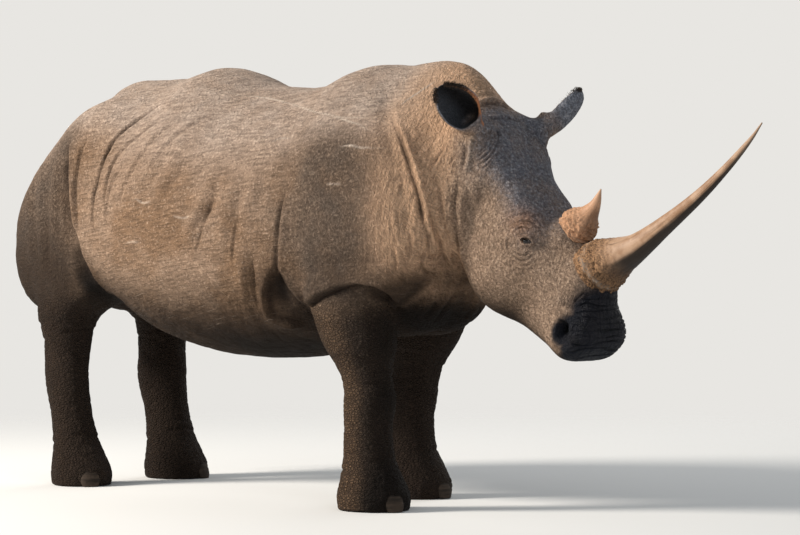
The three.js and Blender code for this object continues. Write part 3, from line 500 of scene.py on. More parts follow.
def zipped(back, front, points, centre):
    """Faces that close the gap between the open edges of two meshes."""
    i_ring, i_angle = open_ring(back, points, centre)
    j_ring, j_angle = open_ring(front, points, centre)
    i = j = 0
    faces = []
    while i < len(i_ring) or j < len(j_ring):
        a, b = i_ring[i % len(i_ring)], j_ring[j % len(j_ring)]
        next_i = i_angle[i + 1] if i + 1 < len(i_ring) else i_angle[0] + 2 * math.pi
        next_j = j_angle[j + 1] if j + 1 < len(j_ring) else j_angle[0] + 2 * math.pi
        if j >= len(j_ring) or (i < len(i_ring) and next_i <= next_j):
            faces.append((a, i_ring[(i + 1) % len(i_ring)], b))
            i += 1
        else:
            faces.append((a, j_ring[(j + 1) % len(j_ring)], b))
            j += 1
    return np.array(faces)


def refined(points, faces, target, passes):
    """Splits the edges longer than target(point) and settles the new points on the hide."""
    for _ in range(passes):
        e = np.sort(faces[:, [0, 1, 1, 2, 2, 0]].reshape(-1, 2), 1)
        key, back = np.unique(e @ np.array([len(points), 1]), return_inverse=True)
        ends = np.stack([key // len(points), key % len(points)], 1)
        a, b = points[ends[:, 0]], points[ends[:, 1]]
        middle = (a + b) / 2
        split = np.linalg.norm(a - b, axis=1) > target(middle)
        if not split.any():
            break
        name = np.full(len(key), -1)
        name[split] = len(points) + np.arange(split.sum())
        points = np.vstack([points, settle(middle[split])[0]])
        mid = name[back].reshape(-1, 3)
        cuts = (mid >= 0).sum(1)
        made = [faces[cuts == 0]]
        for turn in range(3):
            f, m = np.roll(faces, -turn, 1), np.roll(mid, -turn, 1)
            one = (cuts == 1) & (m[:, 0] >= 0)
            v, q = f[one], m[one, 0]
            made += [np.stack([v[:, 0], q, v[:, 2]], 1), np.stack([q, v[:, 1], v[:, 2]], 1)]
            two = (cuts == 2) & (m[:, 2] < 0)
            v, q, r = f[two], m[two, 0], m[two, 1]
            made += [np.stack([q, v[:, 1], r], 1), np.stack([v[:, 0], q, r], 1),
                     np.stack([v[:, 0], r, v[:, 2]], 1)]
        v, q = faces[cuts == 3], mid[cuts == 3]
        made += [np.stack([v[:, 0], q[:, 0], q[:, 2]], 1), np.stack([q[:, 0], v[:, 1], q[:, 1]], 1),
                 np.stack([q[:, 2], q[:, 1], v[:, 2]], 1), q]
        faces = np.concatenate(made)
    return points, faces


def bare_mesh():
    """The closed mesh of the hide: a coarser body and a finer head, zipped together at the neck."""
    full, low = sample((-2.14, -0.62, -0.03), (NECK_CUT, 0.62, 1.83), BODY_CELL)
    body, body_faces = surface_net(full, low, BODY_CELL)
    reach = low[0] + (full.shape[0] - 1) * BODY_CELL
    full, low = sample((reach + 0.004, -0.44, 0.6), (1.3, 0.44, 1.85), HEAD_CELL)
    head, head_faces = surface_net(full, low, HEAD_CELL)
    body_faces, head_faces = halved(body, body_faces), halved(head, head_faces)
    points = settle(np.vstack([body, head]))[0]
    head_faces = head_faces + len(body)
    seam = zipped(body_faces, head_faces, points, (0, 1.28))
    return points, np.concatenate([body_faces, head_faces, seam])


# ---------------------------------------------------------------- folds
class Skin:
    """The hide's mesh while it is worked: how far each point is pushed out, and how much shade is painted on
    it in folds and hollows.
    """

    def __init__(self, points, faces):
        self.faces = faces
        self.points, self.normals = settle(points)
        self.push = np.zeros(len(points))
        self.crease = np.zeros(len(points))
        self.pale = np.zeros(len(points))

    def box(self, low, high):
        p = self.points
        return np.flatnonzero(((p > low) & (p < high)).all(1))

    # painted shade: each point keeps the darkest amount of shade laid on it
    def darken(self, near, amount):
        self.crease[near] = np.maximum(self.crease[near], amount)

    def done(self):
        moved = self.points + self.normals * self.push[:, None]
        moved[:, 2] = np.maximum(moved[:, 2], 0)
        return moved


def lattice_noise(p, size, seed):
    """Smooth noise between -1 and 1 with lumps about `size` long; size may differ by axis."""
    q = p / np.array(size) + 71.3 * seed
    base = np.floor(q).astype(np.int64)
    f = q - base
    f = f * f * (3 - 2 * f)
    total = np.zeros(len(q))
    for corner in np.ndindex(2, 2, 2):
        c = base + np.array(corner)
        h = (c[:, 0] * 73856093) ^ (c[:, 1] * 19349663) ^ (c[:, 2] * 83492791) ^ (seed * 2654435761)
        h = (h ^ (h >> 13)) * 1274126177
        value = ((h ^ (h >> 16)) & 0xFFFF) / 32767.5 - 1
        weight = np.prod(np.where(corner, f, 1 - f), axis=1)
        total += value * weight
    return total


def valleys(p, size, seed, sharp=0.22):
    """Winding valleys about `size` apart: 1 along their floors, 0 on the pads between."""
    return bell(lattice_noise(p, size, seed), sharp)


def side_point(x, z, side):
    """Where the hide is met from the side at x, z."""
    y = np.linspace(0.75, 0, 301) * side
    value = hide([np.full(301, x), y, np.full(301, z)], extras=False)
    i = max(int(np.argmax(value < 0)), 1)
    share = value[i - 1] / (value[i - 1] - value[i])
    return (x, y[i - 1] + share * (y[i] - y[i - 1]), z)


def front_point(y, z):
    """Where the chest is met from the front at y, z."""
    x = np.linspace(0.5, 0, 251)
    value = hide([x, np.full(251, y), np.full(251, z)], extras=False)
    return (x[max(int(np.argmax(value < 0)), 1)], y, z)


def fold(line, over, depth=0.004, width=0.0055, roll=0.002, step=0.0, reach=0.06, dark=0.4, pale=0.0,
         ends=0.2, shade=0.0, behind=0.06):
    """A crease along a line, with shade painted along it by `dark`. The skin rolls or steps up on the side
    that `over` points to, and painted shade gathers over the width `behind` on the other side."""
    length = np.linalg.norm(np.diff(smooth_path(line, 32), axis=0), axis=1).sum()
    count = int(np.clip(length / (0.5 * width), 32, 400))
    return dict(path=smooth_path(line, count), over=over, depth=depth, width=width, roll=roll, step=step,
                reach=reach, dark=dark, pale=pale, ends=ends, shade=shade, behind=behind)


def both(line, over, **shape):
    """The same crease on both sides, through points given for the left."""
    for side in (-1, 1):
        turn = np.array((1, side, 1))
        yield fold(np.array(line) * turn, np.array(over) * turn, **shape)


def flank(points, over, shift_left=0.0, **shape):
    """The same crease on both flanks, through points given as (x, z)."""
    for side in (-1, 1):
        shift = shift_left if side > 0 else 0
        yield fold([side_point(x + shift, z, side) for x, z in points], over, **shape)


def press(skin, path, over, depth, width, roll, step, reach, dark, pale, ends, shade, behind):
    """Works one fold into the skin."""
    span = max(3 * width, reach if step else 0, 4.5 * width if roll else 0, behind if shade else 0)
    near = skin.box(path.min(0) - span, path.max(0) + span)
    for every, extra in ((8, 5 * width), (1, 0)):
        line = path[::every]
        p = skin.points[near]
        gap = (p ** 2).sum(1)[:, None] - 2 * p @ line.T + (line ** 2).sum(1)
        at = gap.argmin(1)
        gap = np.sqrt(np.maximum(gap.min(1), 0))
        close = gap < 1.5 * span + extra
        near, p, at, gap = near[close], p[close], at[close], gap[close]
    tangent = unit(np.gradient(path, axis=0))
    over = np.asarray(over, float)
    away = unit(over - (tangent @ over)[:, None] * tangent)
    side = np.sign(((p - path[at]) * away[at]).sum(1))
    share = at / (len(path) - 1)
    fade = ease(share, 0, ends) * ease(share, 1, 1 - ends)
    fade = fade * (0.8 + 0.35 * lattice_noise(p, 0.07, 17))
    signed = gap * side + 0.3 * width * lattice_noise(p, 4 * width, 18)
    hollow = bell(signed, width)
    skin.push[near] -= depth * fade * hollow
    skin.push[near] += roll * fade * bell(signed - 1.9 * width, 1.3 * width)
    if step:
        skin.push[near] += step * fade * ease(signed, -0.6 * width, 0.7 * width) * bell(
            np.maximum(signed, 0), reach)
    # painted shade along the floor of the crease
    skin.darken(near, dark * fade * bell(signed, width))
    if shade:
        edge = behind * (1 + 0.4 * lattice_noise(p, 0.06, 19))
        skin.darken(near, shade * fade * ease(signed / edge, -1.0, 0.0) * (signed < 0))
    skin.pale[near] = np.maximum(skin.pale[near], pale * fade * hollow)


FORWARD, BACKWARD, UPWARD = (1, 0, 0), (-1, 0, 0), (0, 0, 1)


def shoulder_folds():
    # the neck laps over the shoulder, with a long hollow behind the lap
    yield from flank([(0.10, 1.72), (0.19, 1.63), (0.28, 1.53), (0.36, 1.42), (0.41, 1.32), (0.44, 1.2),
                      (0.445, 1.08), (0.42, 0.97)], FORWARD, depth=0.015, width=0.036, roll=0.0, dark=0.3)
    yield from flank([(0.261, 1.577), (0.314, 1.525), (0.36, 1.474), (0.408, 1.4), (0.451, 1.304),
                      (0.477, 1.219), (0.489, 1.138), (0.486, 1.041), (0.449, 0.962), (0.41, 0.881)],
                     FORWARD, depth=0.013, width=0.009, roll=0.008, step=0.015, reach=0.08, dark=0.7)
    # the shoulder over the ribs, and the sleeve over the front leg
    yield from flank([(-0.155, 1.3), (-0.175, 1.2), (-0.19, 1.08), (-0.197, 0.99), (-0.205, 0.93),
                      (-0.188, 0.86), (-0.142, 0.79), (-0.1, 0.75)], FORWARD, shift_left=-0.18, depth=0.012,
                     width=0.012, roll=0.006, step=0.014, reach=0.12, dark=0.9, shade=0.7, behind=0.05)
    # the pocket behind the elbow, and the loose skin of the flank round it
    yield from flank([(-0.205, 0.95), (-0.225, 0.88), (-0.235, 0.82), (-0.23, 0.765)], FORWARD,
                     shift_left=-0.26, depth=0.03, width=0.042, roll=0.0, dark=1.1, ends=0.25)
    yield from flank([(-0.205, 0.965), (-0.22, 0.935), (-0.25, 0.89), (-0.283, 0.829), (-0.3, 0.77),
                      (-0.262, 0.738), (-0.19, 0.727)], (-1, 0, -0.7), shift_left=-0.26, depth=0.012,
                     width=0.012, roll=0.014, step=0.016, dark=0.6, shade=0.8, behind=0.05)
    cuff = [(-0.08, 0.79), (-0.007, 0.816), (0.063, 0.846), (0.151, 0.876), (0.221, 0.891)]
    right = [side_point(x, z, -1) for x, z in cuff]
    right += [(0.29, -0.367, 0.88), (0.293, -0.315, 0.848), (0.274, -0.241, 0.799), (0.286, -0.214, 0.775)]
    left = [side_point(x - 0.28, z, 1) for x, z in cuff + [(0.3, 0.875), (0.34, 0.83)]]
    for line in (right, left):
        yield fold(line, UPWARD, depth=0.020, width=0.010, roll=0.012, step=0.030, reach=0.08, dark=1.2,
                   ends=0.12, shade=0.45, behind=0.03)
    yield from flank([(-0.12, 0.88), (0.0, 0.94), (0.12, 0.965), (0.26, 0.955)], UPWARD, shift_left=-0.28,
                     depth=0.005, width=0.022, roll=0.0, dark=0.0)
    # the blade bone's edge
    yield from flank([(-0.08, 1.66), (-0.125, 1.62), (-0.09, 1.58), (0.0, 1.555), (0.12, 1.545)], UPWARD,
                     depth=0.003, width=0.009, roll=0.004, dark=0.05)


def hip_folds():
    # the flank laps over the thigh, with a hollow behind the lap
    yield from flank([(-1.535, 1.47), (-1.53, 1.42), (-1.522, 1.37), (-1.508, 1.3), (-1.485, 1.221),
                      (-1.466, 1.148), (-1.44, 1.076), (-1.41, 1.003), (-1.388, 0.936), (-1.37, 0.869),
                      (-1.33, 0.8)], FORWARD, depth=0.016, width=0.011, roll=0.007, step=0.022, reach=0.1,
                     dark=1.2, ends=0.08, shade=1.3, behind=0.08)
    yield from flank([(-1.56, 1.45), (-1.556, 1.38), (-1.545, 1.306), (-1.526, 1.221), (-1.502, 1.136),
                      (-1.475, 1.05), (-1.44, 0.95), (-1.42, 0.86)], BACKWARD, depth=0.026, width=0.034,
                     roll=0.0, dark=0.5)
    yield from flank([(-1.47, 1.16), (-1.45, 1.05), (-1.43, 0.95), (-1.42, 0.86), (-1.42, 0.78)], BACKWARD,
                     depth=0.008, width=0.05, roll=0.0, dark=0.95, ends=0.35)
    yield from flank([(-1.608, 1.38), (-1.586, 1.27), (-1.572, 1.135), (-1.564, 1.013)], BACKWARD,
                     depth=0.006, width=0.018, roll=0.005, dark=0.25)
    yield from flank([(-1.693, 1.36), (-1.67, 1.245), (-1.657, 1.122), (-1.652, 1.012), (-1.663, 0.888)],
                     BACKWARD, depth=0.013, width=0.026, roll=0.006, dark=0.32)
    yield from flank([(-1.79, 1.33), (-1.765, 1.2), (-1.74, 1.05), (-1.72, 0.92)], BACKWARD, depth=0.010,
                     width=0.024, roll=0.005, dark=0.15)
    # arcs that run up over the hip
    for line, depth, width, dark in (
            ([(-1.421, 1.53), (-1.424, 1.453), (-1.44, 1.404), (-1.451, 1.343), (-1.448, 1.27),
              (-1.436, 1.185), (-1.41, 1.09), (-1.37, 1.0)], 0.008, 0.0075, 0.6),
            ([(-0.972, 1.661), (-1.063, 1.614), (-1.15, 1.565), (-1.216, 1.506), (-1.267, 1.44),
              (-1.302, 1.367), (-1.327, 1.295), (-1.33, 1.222), (-1.318, 1.15), (-1.292, 1.066),
              (-1.25, 0.97)], 0.008, 0.0065, 0.8),
            ([(-0.896, 1.594), (-0.98, 1.55), (-1.084, 1.493), (-1.168, 1.439), (-1.222, 1.379),
              (-1.25, 1.307), (-1.246, 1.247), (-1.22, 1.163), (-1.18, 1.07)], 0.007, 0.0065, 0.65),
            ([(-1.11, 1.39), (-1.155, 1.35), (-1.185, 1.31), (-1.208, 1.26), (-1.212, 1.2), (-1.2, 1.12),
              (-1.17, 1.03)], 0.006, 0.0065, 0.5),
            ([(-0.75, 1.6), (-0.86, 1.545), (-0.96, 1.48), (-1.026, 1.391), (-1.06, 1.331), (-1.089, 1.271),
              (-1.11, 1.2), (-1.11, 1.1)], 0.006, 0.010, 0.35),
            ([(-0.66, 1.58), (-0.76, 1.54), (-0.84, 1.48), (-0.9, 1.4), (-0.94, 1.31), (-0.97, 1.22)],
             0.005, 0.010, 0.3)):
        yield from flank(line, BACKWARD, depth=1.3 * depth, width=width, roll=0.9 * depth, dark=dark,
                         ends=0.3)


def rib_folds():
    """Hollows between the ribs and the furrows of the flank."""
    for points, depth in (
            ([(-0.83, 1.43), (-0.878, 1.331), (-0.925, 1.262), (-0.952, 1.189), (-0.962, 1.118)], 0.007),
            ([(-0.72, 1.4), (-0.74, 1.343), (-0.776, 1.284), (-0.807, 1.225), (-0.82, 1.15)], 0.008),
            ([(-0.62, 1.36), (-0.638, 1.308), (-0.667, 1.256), (-0.684, 1.203), (-0.69, 1.12)], 0.007),
            ([(-0.49, 1.36), (-0.51, 1.3), (-0.53, 1.25), (-0.546, 1.192), (-0.568, 1.133), (-0.586, 1.075),
              (-0.596, 1.005), (-0.6, 0.93)], 0.012),
            ([(-0.375, 1.33), (-0.385, 1.26), (-0.394, 1.2), (-0.4, 1.12), (-0.404, 1.04), (-0.407, 0.95)],
             0.011),
            ([(-0.29, 1.34), (-0.3, 1.22), (-0.31, 1.1)], 0.006),
            ([(-0.22, 1.45), (-0.19, 1.378), (-0.175, 1.309)], 0.006),
            ([(-0.29, 1.08), (-0.305, 1.02), (-0.322, 0.95), (-0.335, 0.88), (-0.346, 0.81), (-0.36, 0.74)],
             0.013)):
        yield from flank(points, BACKWARD, depth=1.6 * depth, width=0.026, roll=1.2 * depth,
                         dark=depth * 24, ends=0.45)
    for points in ([(-0.53, 1.25), (-0.55, 1.17), (-0.575, 1.1), (-0.59, 1.02), (-0.592, 0.95)],
                   [(-0.392, 1.16), (-0.4, 1.08), (-0.405, 1.0), (-0.405, 0.92)],
                   [(-0.305, 1.02), (-0.322, 0.95), (-0.335, 0.88), (-0.346, 0.81), (-0.358, 0.75)]):
        yield from flank(points, BACKWARD, depth=0.006, width=0.006, roll=0.005, dark=0.4, ends=0.4)


def neck_folds():
    """Upright folds of the neck and chest, and the edge of the cheek over them."""
    for line, depth, width, dark in (
            ([(0.482, 1.257), (0.496, 1.18), (0.503, 1.118), (0.499, 1.068), (0.462, 0.977), (0.428, 0.905)],
             0.011, 0.010, 0.45),
            ([(0.525, 1.451), (0.506, 1.404), (0.489, 1.342)], 0.006, 0.006, 0.5),
            ([(0.575, 1.412), (0.554, 1.373), (0.534, 1.342)], 0.004, 0.006, 0.4),
            ([(0.515, 1.3), (0.528, 1.21), (0.53, 1.12), (0.51, 1.04)], 0.008, 0.012, 0.35),
            ([(0.455, 1.12), (0.45, 1.04), (0.42, 0.965)], 0.007, 0.010, 0.35),
            ([(0.4, 1.06), (0.39, 0.98), (0.36, 0.91)], 0.006, 0.009, 0.3)):
        yield from flank(line, FORWARD, depth=depth, width=width, roll=0.6 * depth, dark=dark, ends=0.3)
    yield from flank([(0.592, 1.33), (0.587, 1.257), (0.584, 1.2), (0.58, 1.142), (0.559, 1.08),
                      (0.54, 1.009), (0.545, 0.943), (0.56, 0.9)], FORWARD, depth=0.012, width=0.012,
                     roll=0.005, step=0.012, reach=0.06, dark=0.6, ends=0.25)
    yield from flank([(0.65, 1.34), (0.648, 1.26), (0.64, 1.18), (0.625, 1.1)], FORWARD, depth=-0.016,
                     width=0.04, roll=0, dark=0)
    for y, top, foot in ((0.03, 0.93, 0.72), (0.09, 0.94, 0.74), (0.15, 0.93, 0.78)):
        for side in (-1, 1):
            line = [front_point(side * (y + 0.02 * i), z) for i, z in enumerate(np.linspace(top, foot, 4))]
            yield fold(line, (0, side, 0), depth=0.007, width=0.014, roll=0.003, dark=0.3)


def head_folds():
    # over the poll, where the nape meets the head
    yield fold([(0.55, -0.1, 1.575), (0.55, -0.05, 1.592), (0.556, 0, 1.594), (0.556, 0.06, 1.585),
                (0.56, 0.105, 1.568)], (-1, 0, 0.6), depth=0.010, width=0.008, roll=0.008, step=0.010,
               reach=0.05, dark=0.6)
    yield fold([(0.605, -0.1, 1.53), (0.61, -0.04, 1.535), (0.612, 0.03, 1.535), (0.62, 0.11, 1.526)],
               (-1, 0, 0.6), depth=0.006, width=0.0055, roll=0.005, dark=0.5)
    # arcs round the ear's root, and the pale cord below it
    for line in ([(0.612, 0.15, 1.525), (0.633, 0.1, 1.515), (0.665, 0.093, 1.476), (0.689, 0.133, 1.425),
                  (0.68, 0.174, 1.375), (0.637, 0.201, 1.342)],
                 [(0.64, 0.16, 1.515), (0.658, 0.13, 1.497), (0.672, 0.119, 1.466), (0.684, 0.152, 1.424),
                  (0.668, 0.183, 1.384), (0.637, 0.204, 1.36)],
                 [(0.66, 0.17, 1.497), (0.668, 0.15, 1.48), (0.677, 0.142, 1.456), (0.677, 0.166, 1.423),
                  (0.657, 0.19, 1.392), (0.638, 0.205, 1.378)],
                 [(0.665, 0.18, 1.473), (0.672, 0.165, 1.452), (0.667, 0.178, 1.421), (0.648, 0.196, 1.397)],
                 [(0.7, 0.13, 1.445), (0.703, 0.15, 1.405), (0.69, 0.178, 1.36), (0.66, 0.197, 1.33)]):
        yield from both(line, (1, 0, -0.4), depth=0.007, width=0.005, roll=0.006, dark=0.6, ends=0.25)
    yield from both([(0.636, 0.222, 1.465), (0.63, 0.208, 1.425), (0.618, 0.211, 1.365),
                     (0.609, 0.217, 1.315)], FORWARD, depth=-0.009, width=0.012, roll=0, dark=0, pale=0.35)
    yield from both([(0.612, 0.232, 1.45), (0.604, 0.218, 1.4), (0.594, 0.222, 1.34)], FORWARD, depth=0.006,
                    width=0.008, roll=0, dark=0.5)
    # brow and the bag below the eye
    random = np.random.default_rng(7)
    for line, depth in (
            ([(0.826, 0.189, 1.08), (0.838, 0.181, 1.106), (0.863, 0.163, 1.117), (0.888, 0.146, 1.106),
              (0.904, 0.142, 1.081)], 0.0032),
            ([(0.808, 0.192, 1.078), (0.826, 0.183, 1.113), (0.858, 0.162, 1.129), (0.887, 0.138, 1.118),
              (0.908, 0.132, 1.088)], 0.0028),
            ([(0.797, 0.195, 1.087), (0.815, 0.185, 1.121), (0.853, 0.161, 1.14), (0.886, 0.13, 1.13),
              (0.912, 0.121, 1.095)], 0.0034),
            ([(0.783, 0.193, 1.113), (0.812, 0.18, 1.147), (0.849, 0.151, 1.163), (0.881, 0.113, 1.151),
              (0.911, 0.101, 1.113)], 0.0024),
            ([(0.834, 0.191, 1.037), (0.85, 0.186, 1.018), (0.872, 0.176, 1.011), (0.905, 0.157, 1.03)],
             0.0034),
            ([(0.822, 0.195, 1.026), (0.845, 0.187, 1.0), (0.877, 0.173, 0.992), (0.919, 0.151, 1.017)],
             0.0034),
            ([(0.813, 0.197, 1.008), (0.844, 0.185, 0.98), (0.88, 0.168, 0.971), (0.925, 0.149, 0.997)],
             0.003),
            ([(0.82, 0.195, 0.98), (0.85, 0.183, 0.96), (0.89, 0.165, 0.955), (0.93, 0.15, 0.97)], 0.0022),
            ([(0.812, 0.197, 1.085), (0.806, 0.197, 1.06), (0.814, 0.197, 1.03)], 0.0026),
            ([(0.795, 0.2, 1.09), (0.789, 0.2, 1.055), (0.8, 0.2, 1.015)], 0.0022)):
        line = [np.array(q) + random.normal(0, 0.0022, 3) * (1, 0, 1) for q in line]
        yield from both(line, UPWARD, depth=1.5 * depth, width=0.005, roll=0.0045, dark=200 * depth,
                        ends=0.35)
    # from the horn's root down to the nostril
    for line in ([(1.12, 0.09, 0.88), (1.09, 0.11, 0.845), (1.07, 0.12, 0.82)],
                 [(1.08, 0.11, 0.87), (1.07, 0.12, 0.84), (1.06, 0.13, 0.805)],
                 [(1.04, 0.12, 0.88), (1.04, 0.12, 0.84), (1.04, 0.14, 0.8)],
                 [(1.12, 0.095, 0.86), (1.11, 0.11, 0.83), (1.1, 0.12, 0.8)],
                 [(1.0, 0.13, 0.84), (1.0, 0.135, 0.81), (0.985, 0.14, 0.78)]):
        yield from both(line, FORWARD, depth=0.004, width=0.0045, roll=0.0026, dark=0.7, ends=0.3)


def scars():
    """Pale thin lines left by thorns, on the right side only."""
    for points in ([(-0.89, 1.67), (-0.75, 1.65), (-0.59, 1.63), (-0.37, 1.6), (-0.1, 1.56), (0.08, 1.54),
                    (0.21, 1.54), (0.29, 1.54)],
                   [(-0.19, 1.57), (0.09, 1.53), (0.19, 1.51), (0.28, 1.47)],
                   [(0.1, 1.42), (0.18, 1.43), (0.25, 1.42), (0.37, 1.42)],
                   [(0.25, 1.61), (0.21, 1.69), (0.15, 1.735)],
                   [(0.28, 1.58), (0.3, 1.62), (0.34, 1.66), (0.37, 1.69)],
                   [(-0.33, 1.44), (-0.28, 1.46), (-0.21, 1.46)],
                   [(-1.05, 1.03), (-0.99, 1.04), (-0.93, 1.04)],
                   [(0.07, 1.28), (0.13, 1.28), (0.17, 1.28)],
                   [(-1.0, 1.22), (-0.93, 1.2), (-0.87, 1.21)],
                   [(-0.75, 1.15), (-0.68, 1.14), (-0.62, 1.15)]):
        yield fold([side_point(x, z, -1) for x, z in points], UPWARD, depth=-0.001, width=0.0042, roll=0,
                   dark=0, pale=1.2 if len(points) > 3 else 0.8, ends=0.3)


def mouth_folds():
    """The line between the lips: back along each side."""
    line = []
    for s, t in ((1.012, -0.098), (0.97, -0.118), (0.92, -0.142), (0.875, -0.17), (0.85, -0.19)):
        x, _, z = on_head(s, t)
        line.append(side_point(x, z, 1))
    yield from both(line, OUT_OF_HEAD, depth=0.012, width=0.006, roll=0.004, dark=0.7, ends=0.1)


def leg_folds(skin):
    """Rings at the wrists, hocks and fetlocks."""
    for name, leg in LEGS.items():
        x, y = leg["foot"]
        forward = leg["table"][1][0]
        hind = name.startswith("hind")
        for h, depth in (((0.155, 0.004), (0.2, 0.003), (0.6, 0.004), (0.655, 0.005), (0.7, 0.004)) if hind
                         else ((0.15, 0.004), (0.195, 0.003), (0.5, 0.003), (0.545, 0.005), (0.59, 0.004))):
            near = skin.box((x - 0.35, y - 0.25, h - 0.07), (x + 0.35, y + 0.25, h + 0.07))
            p = skin.points[near]
            turn = np.arctan2(p[:, 1] - y, p[:, 0] - x - float(forward(h)))
            height = h + 0.014 * np.sin(turn * 2 + 40 * h) + 0.012 * lattice_noise(p, 0.05, 12)
            part = ease(np.sin(turn * 1.5 + 70 * h) + 0.5 * lattice_noise(p, 0.04, 13), -0.3, 0.6)
            hollow = bell(p[:, 2] - height, 0.008) * part
            skin.push[near] += -depth * hollow + 0.5 * depth * bell(p[:, 2] - height - 0.016, 0.012) * part
            # painted shade in the rings
            skin.darken(near, 0.22 * hollow)


def leg_weight(p):
    """1 on the legs below the body, 0 on the body."""
    weight = np.zeros(len(p))
    for leg in LEGS.values():
        x, y = leg["foot"]
        near = ease(np.hypot(p[:, 0] - x, p[:, 1] - y), 0.46, 0.3)
        weight = np.maximum(weight, near * ease(p[:, 2], 0.88, 0.72))
    return weight


def wrinkles(skin):
    """Slow unevenness of the whole hide, and the close wrinkling of each region."""
    p = skin.points
    x, _, z = p.T
    bent = p + 0.012 * np.stack([lattice_noise(p, 0.08, 31 + i) for i in range(3)], 1)
    skin.push += 0.0022 * lattice_noise(p, 0.13, 1) + 0.0012 * lattice_noise(bent, 0.05, 2)
    head = ease(x, 0.52, 0.64)
    neck = ease(x, 0.16, 0.4) * (1 - head) * (0.35 + 0.65 * ease(z, 1.5, 1.2))
    pleats = np.maximum(valleys(bent, (0.019, 0.06, 0.08), 34, 0.26),
                        0.75 * valleys(bent, (0.013, 0.04, 0.04), 35, 0.26))
    skin.push -= 0.0036 * pleats * neck
    leg = leg_weight(p)
    net = np.maximum(valleys(bent, (0.034, 0.034, 0.024), 36, 0.2), 0.6 * valleys(bent, 0.018, 37, 0.2))
    skin.push -= 0.0026 * net * leg
    low = ease(z, 1.0, 0.8) * (1 - leg) * (1 - head)
    loose = valleys(bent, (0.036, 0.05, 0.026), 38, 0.22)
    skin.push -= 0.0034 * loose * low
    body = (1 - head) * (1 - neck) * (1 - leg) * (1 - low)
    skin.push += 0.0010 * body * lattice_noise(bent, (0.09, 0.05, 0.022), 6)
    cheek = valleys(bent, (0.022, 0.03, 0.014), 39, 0.2)
    fine = np.maximum(valleys(bent, 0.014, 40, 0.2), cheek * bell(z - 0.9, 0.16)) * head
    skin.push -= 0.0012 * fine
    # painted shade in the valleys of the neck's pleats, the legs' net, the low loose skin and the head's
    # fine wrinkles
    skin.darken(slice(None), most(0.2 * pleats * neck, 0.26 * net * leg, 0.3 * loose * low, 0.16 * fine))


# ---------------------------------------------------------------- eyelids, nostrils, muzzle
def eye_centre(side):
    x, _, z = on_head(EYE_AT["s"], EYE_AT["t"])
    y = side_point(x, z, side)[1]
    return np.array((x, y - side * EYE_AT["sunk"], z))


def eye_axes(side):
    """Forward along the lids, up across them and outward, at an eye."""
    outward = unit((0.36, side, 0.16))
    forward = np.array((1, 0, -0.1))
    forward = unit(forward - forward @ outward * outward)
    upward = np.cross(outward, forward) * side
    return forward, upward if upward[2] > 0 else -upward, outward


def eyelids(skin, side):
    """Lids drawn over the eyeball: a low almond opening under a heavy upper lid."""
    centre = eye_centre(side)
    near = skin.box(centre - 0.13, centre + 0.13)
    p = skin.points[near]
    rel = p - centre
    forward, upward, outward = eye_axes(side)
    a, b, c = rel @ forward, rel @ upward, rel @ outward
    front = ease(c, -0.004, 0.008)
    distance = np.linalg.norm(rel, axis=1)
    lid = EYE_RADIUS + LID_THICKNESS + 0.006 * bell(b - 0.013, 0.007) * bell(a, 0.024)
    lifted = smooth_max(distance, lid, 0.012)
    a = a + OPENING_BACK
    arch = np.clip(1 - (a / OPENING_HALF) ** 2, 0, 1)
    top, foot = 0.0072 * arch, -0.0066 * arch ** 0.8
    gap = np.maximum(b - top, foot - b)
    opening = ease(gap, 0.0012, -0.0014) * (np.abs(a) < OPENING_HALF * 1.05) * front
    push = (lifted - distance) * front
    edge = bell(gap - 0.0028, 0.0022) * (np.abs(a) < OPENING_HALF * 1.25) * front
    push += 0.0016 * edge * (1 - opening)
    above = bell(b - 0.0175 - 6 * np.minimum(0, -a * a), 0.0026) * bell(a, 0.03) * front
    below = bell(b + 0.0155 - 5 * a * a, 0.0026) * bell(a, 0.03) * front
    push -= 0.0036 * above + 0.003 * below
    push = push * (1 - opening) + (EYE_RADIUS - 0.005 - distance) * opening
    net = valleys(p, 0.008, 41, 0.25) * bell(distance - 0.04, 0.03) * ease(np.abs(gap), 0.002, 0.008)
    push -= 0.0007 * net
    skin.points[near] = p + unit(rel) * (push * front)[:, None] + skin.normals[near] * (
        push * (1 - front))[:, None]
    # painted shade in the creases above and below the lids, in their net of wrinkles and in the opening
    skin.darken(near, most(0.75 * above, 0.5 * below, 0.3 * net, opening))


def nose_centre(side):
    x, _, z = on_head(NOSTRIL_AT["s"], NOSTRIL_AT["t"])
    return np.array(side_point(x, z, side))


def nostrils(skin):
    """A deep scoop under a fleshy hood, open toward the lip."""
    for side in (-1, 1):
        centre = nose_centre(side)
        near = skin.box(centre - 0.16, centre + 0.16)
        p = skin.points[near]
        rel = p - centre
        a, b = rel[:, 0], rel[:, 2]
        outward = rel[:, 1] * side > -0.06
        wide = 0.036 + 0.1 * np.clip(-b, 0, 0.05)
        edge = (np.abs(a / wide) ** 2.6 + np.abs(b / 0.052) ** 2.6) ** (1 / 2.6)
        edge = edge + 0.06 * lattice_noise(p, 0.03, 19)
        bowl = ease(edge, 1.05, 0.55) * outward
        skin.push[near] -= (0.042 * ease(b, -0.055, 0.03) + 0.007) * bowl
        hood = bell(b - 0.06 + 0.25 * a, 0.012) * bell(a, 0.045) * outward
        rim = bell(a - 0.042, 0.009) * bell(b + 0.004, 0.045) * outward
        back = bell(a + 0.046, 0.009) * bell(b + 0.01, 0.04) * outward
        skin.push[near] += 0.009 * hood + 0.005 * rim + 0.003 * back
        # painted shade inside the nostril and in the groove under its hood
        under = bell(b - 0.046 + 0.2 * a, 0.007) * bell(a, 0.035) * outward
        skin.darken(near, np.maximum(ease(edge, 1.0, 0.45) * ease(b, -0.03, 0.02) * outward, 0.8 * under))


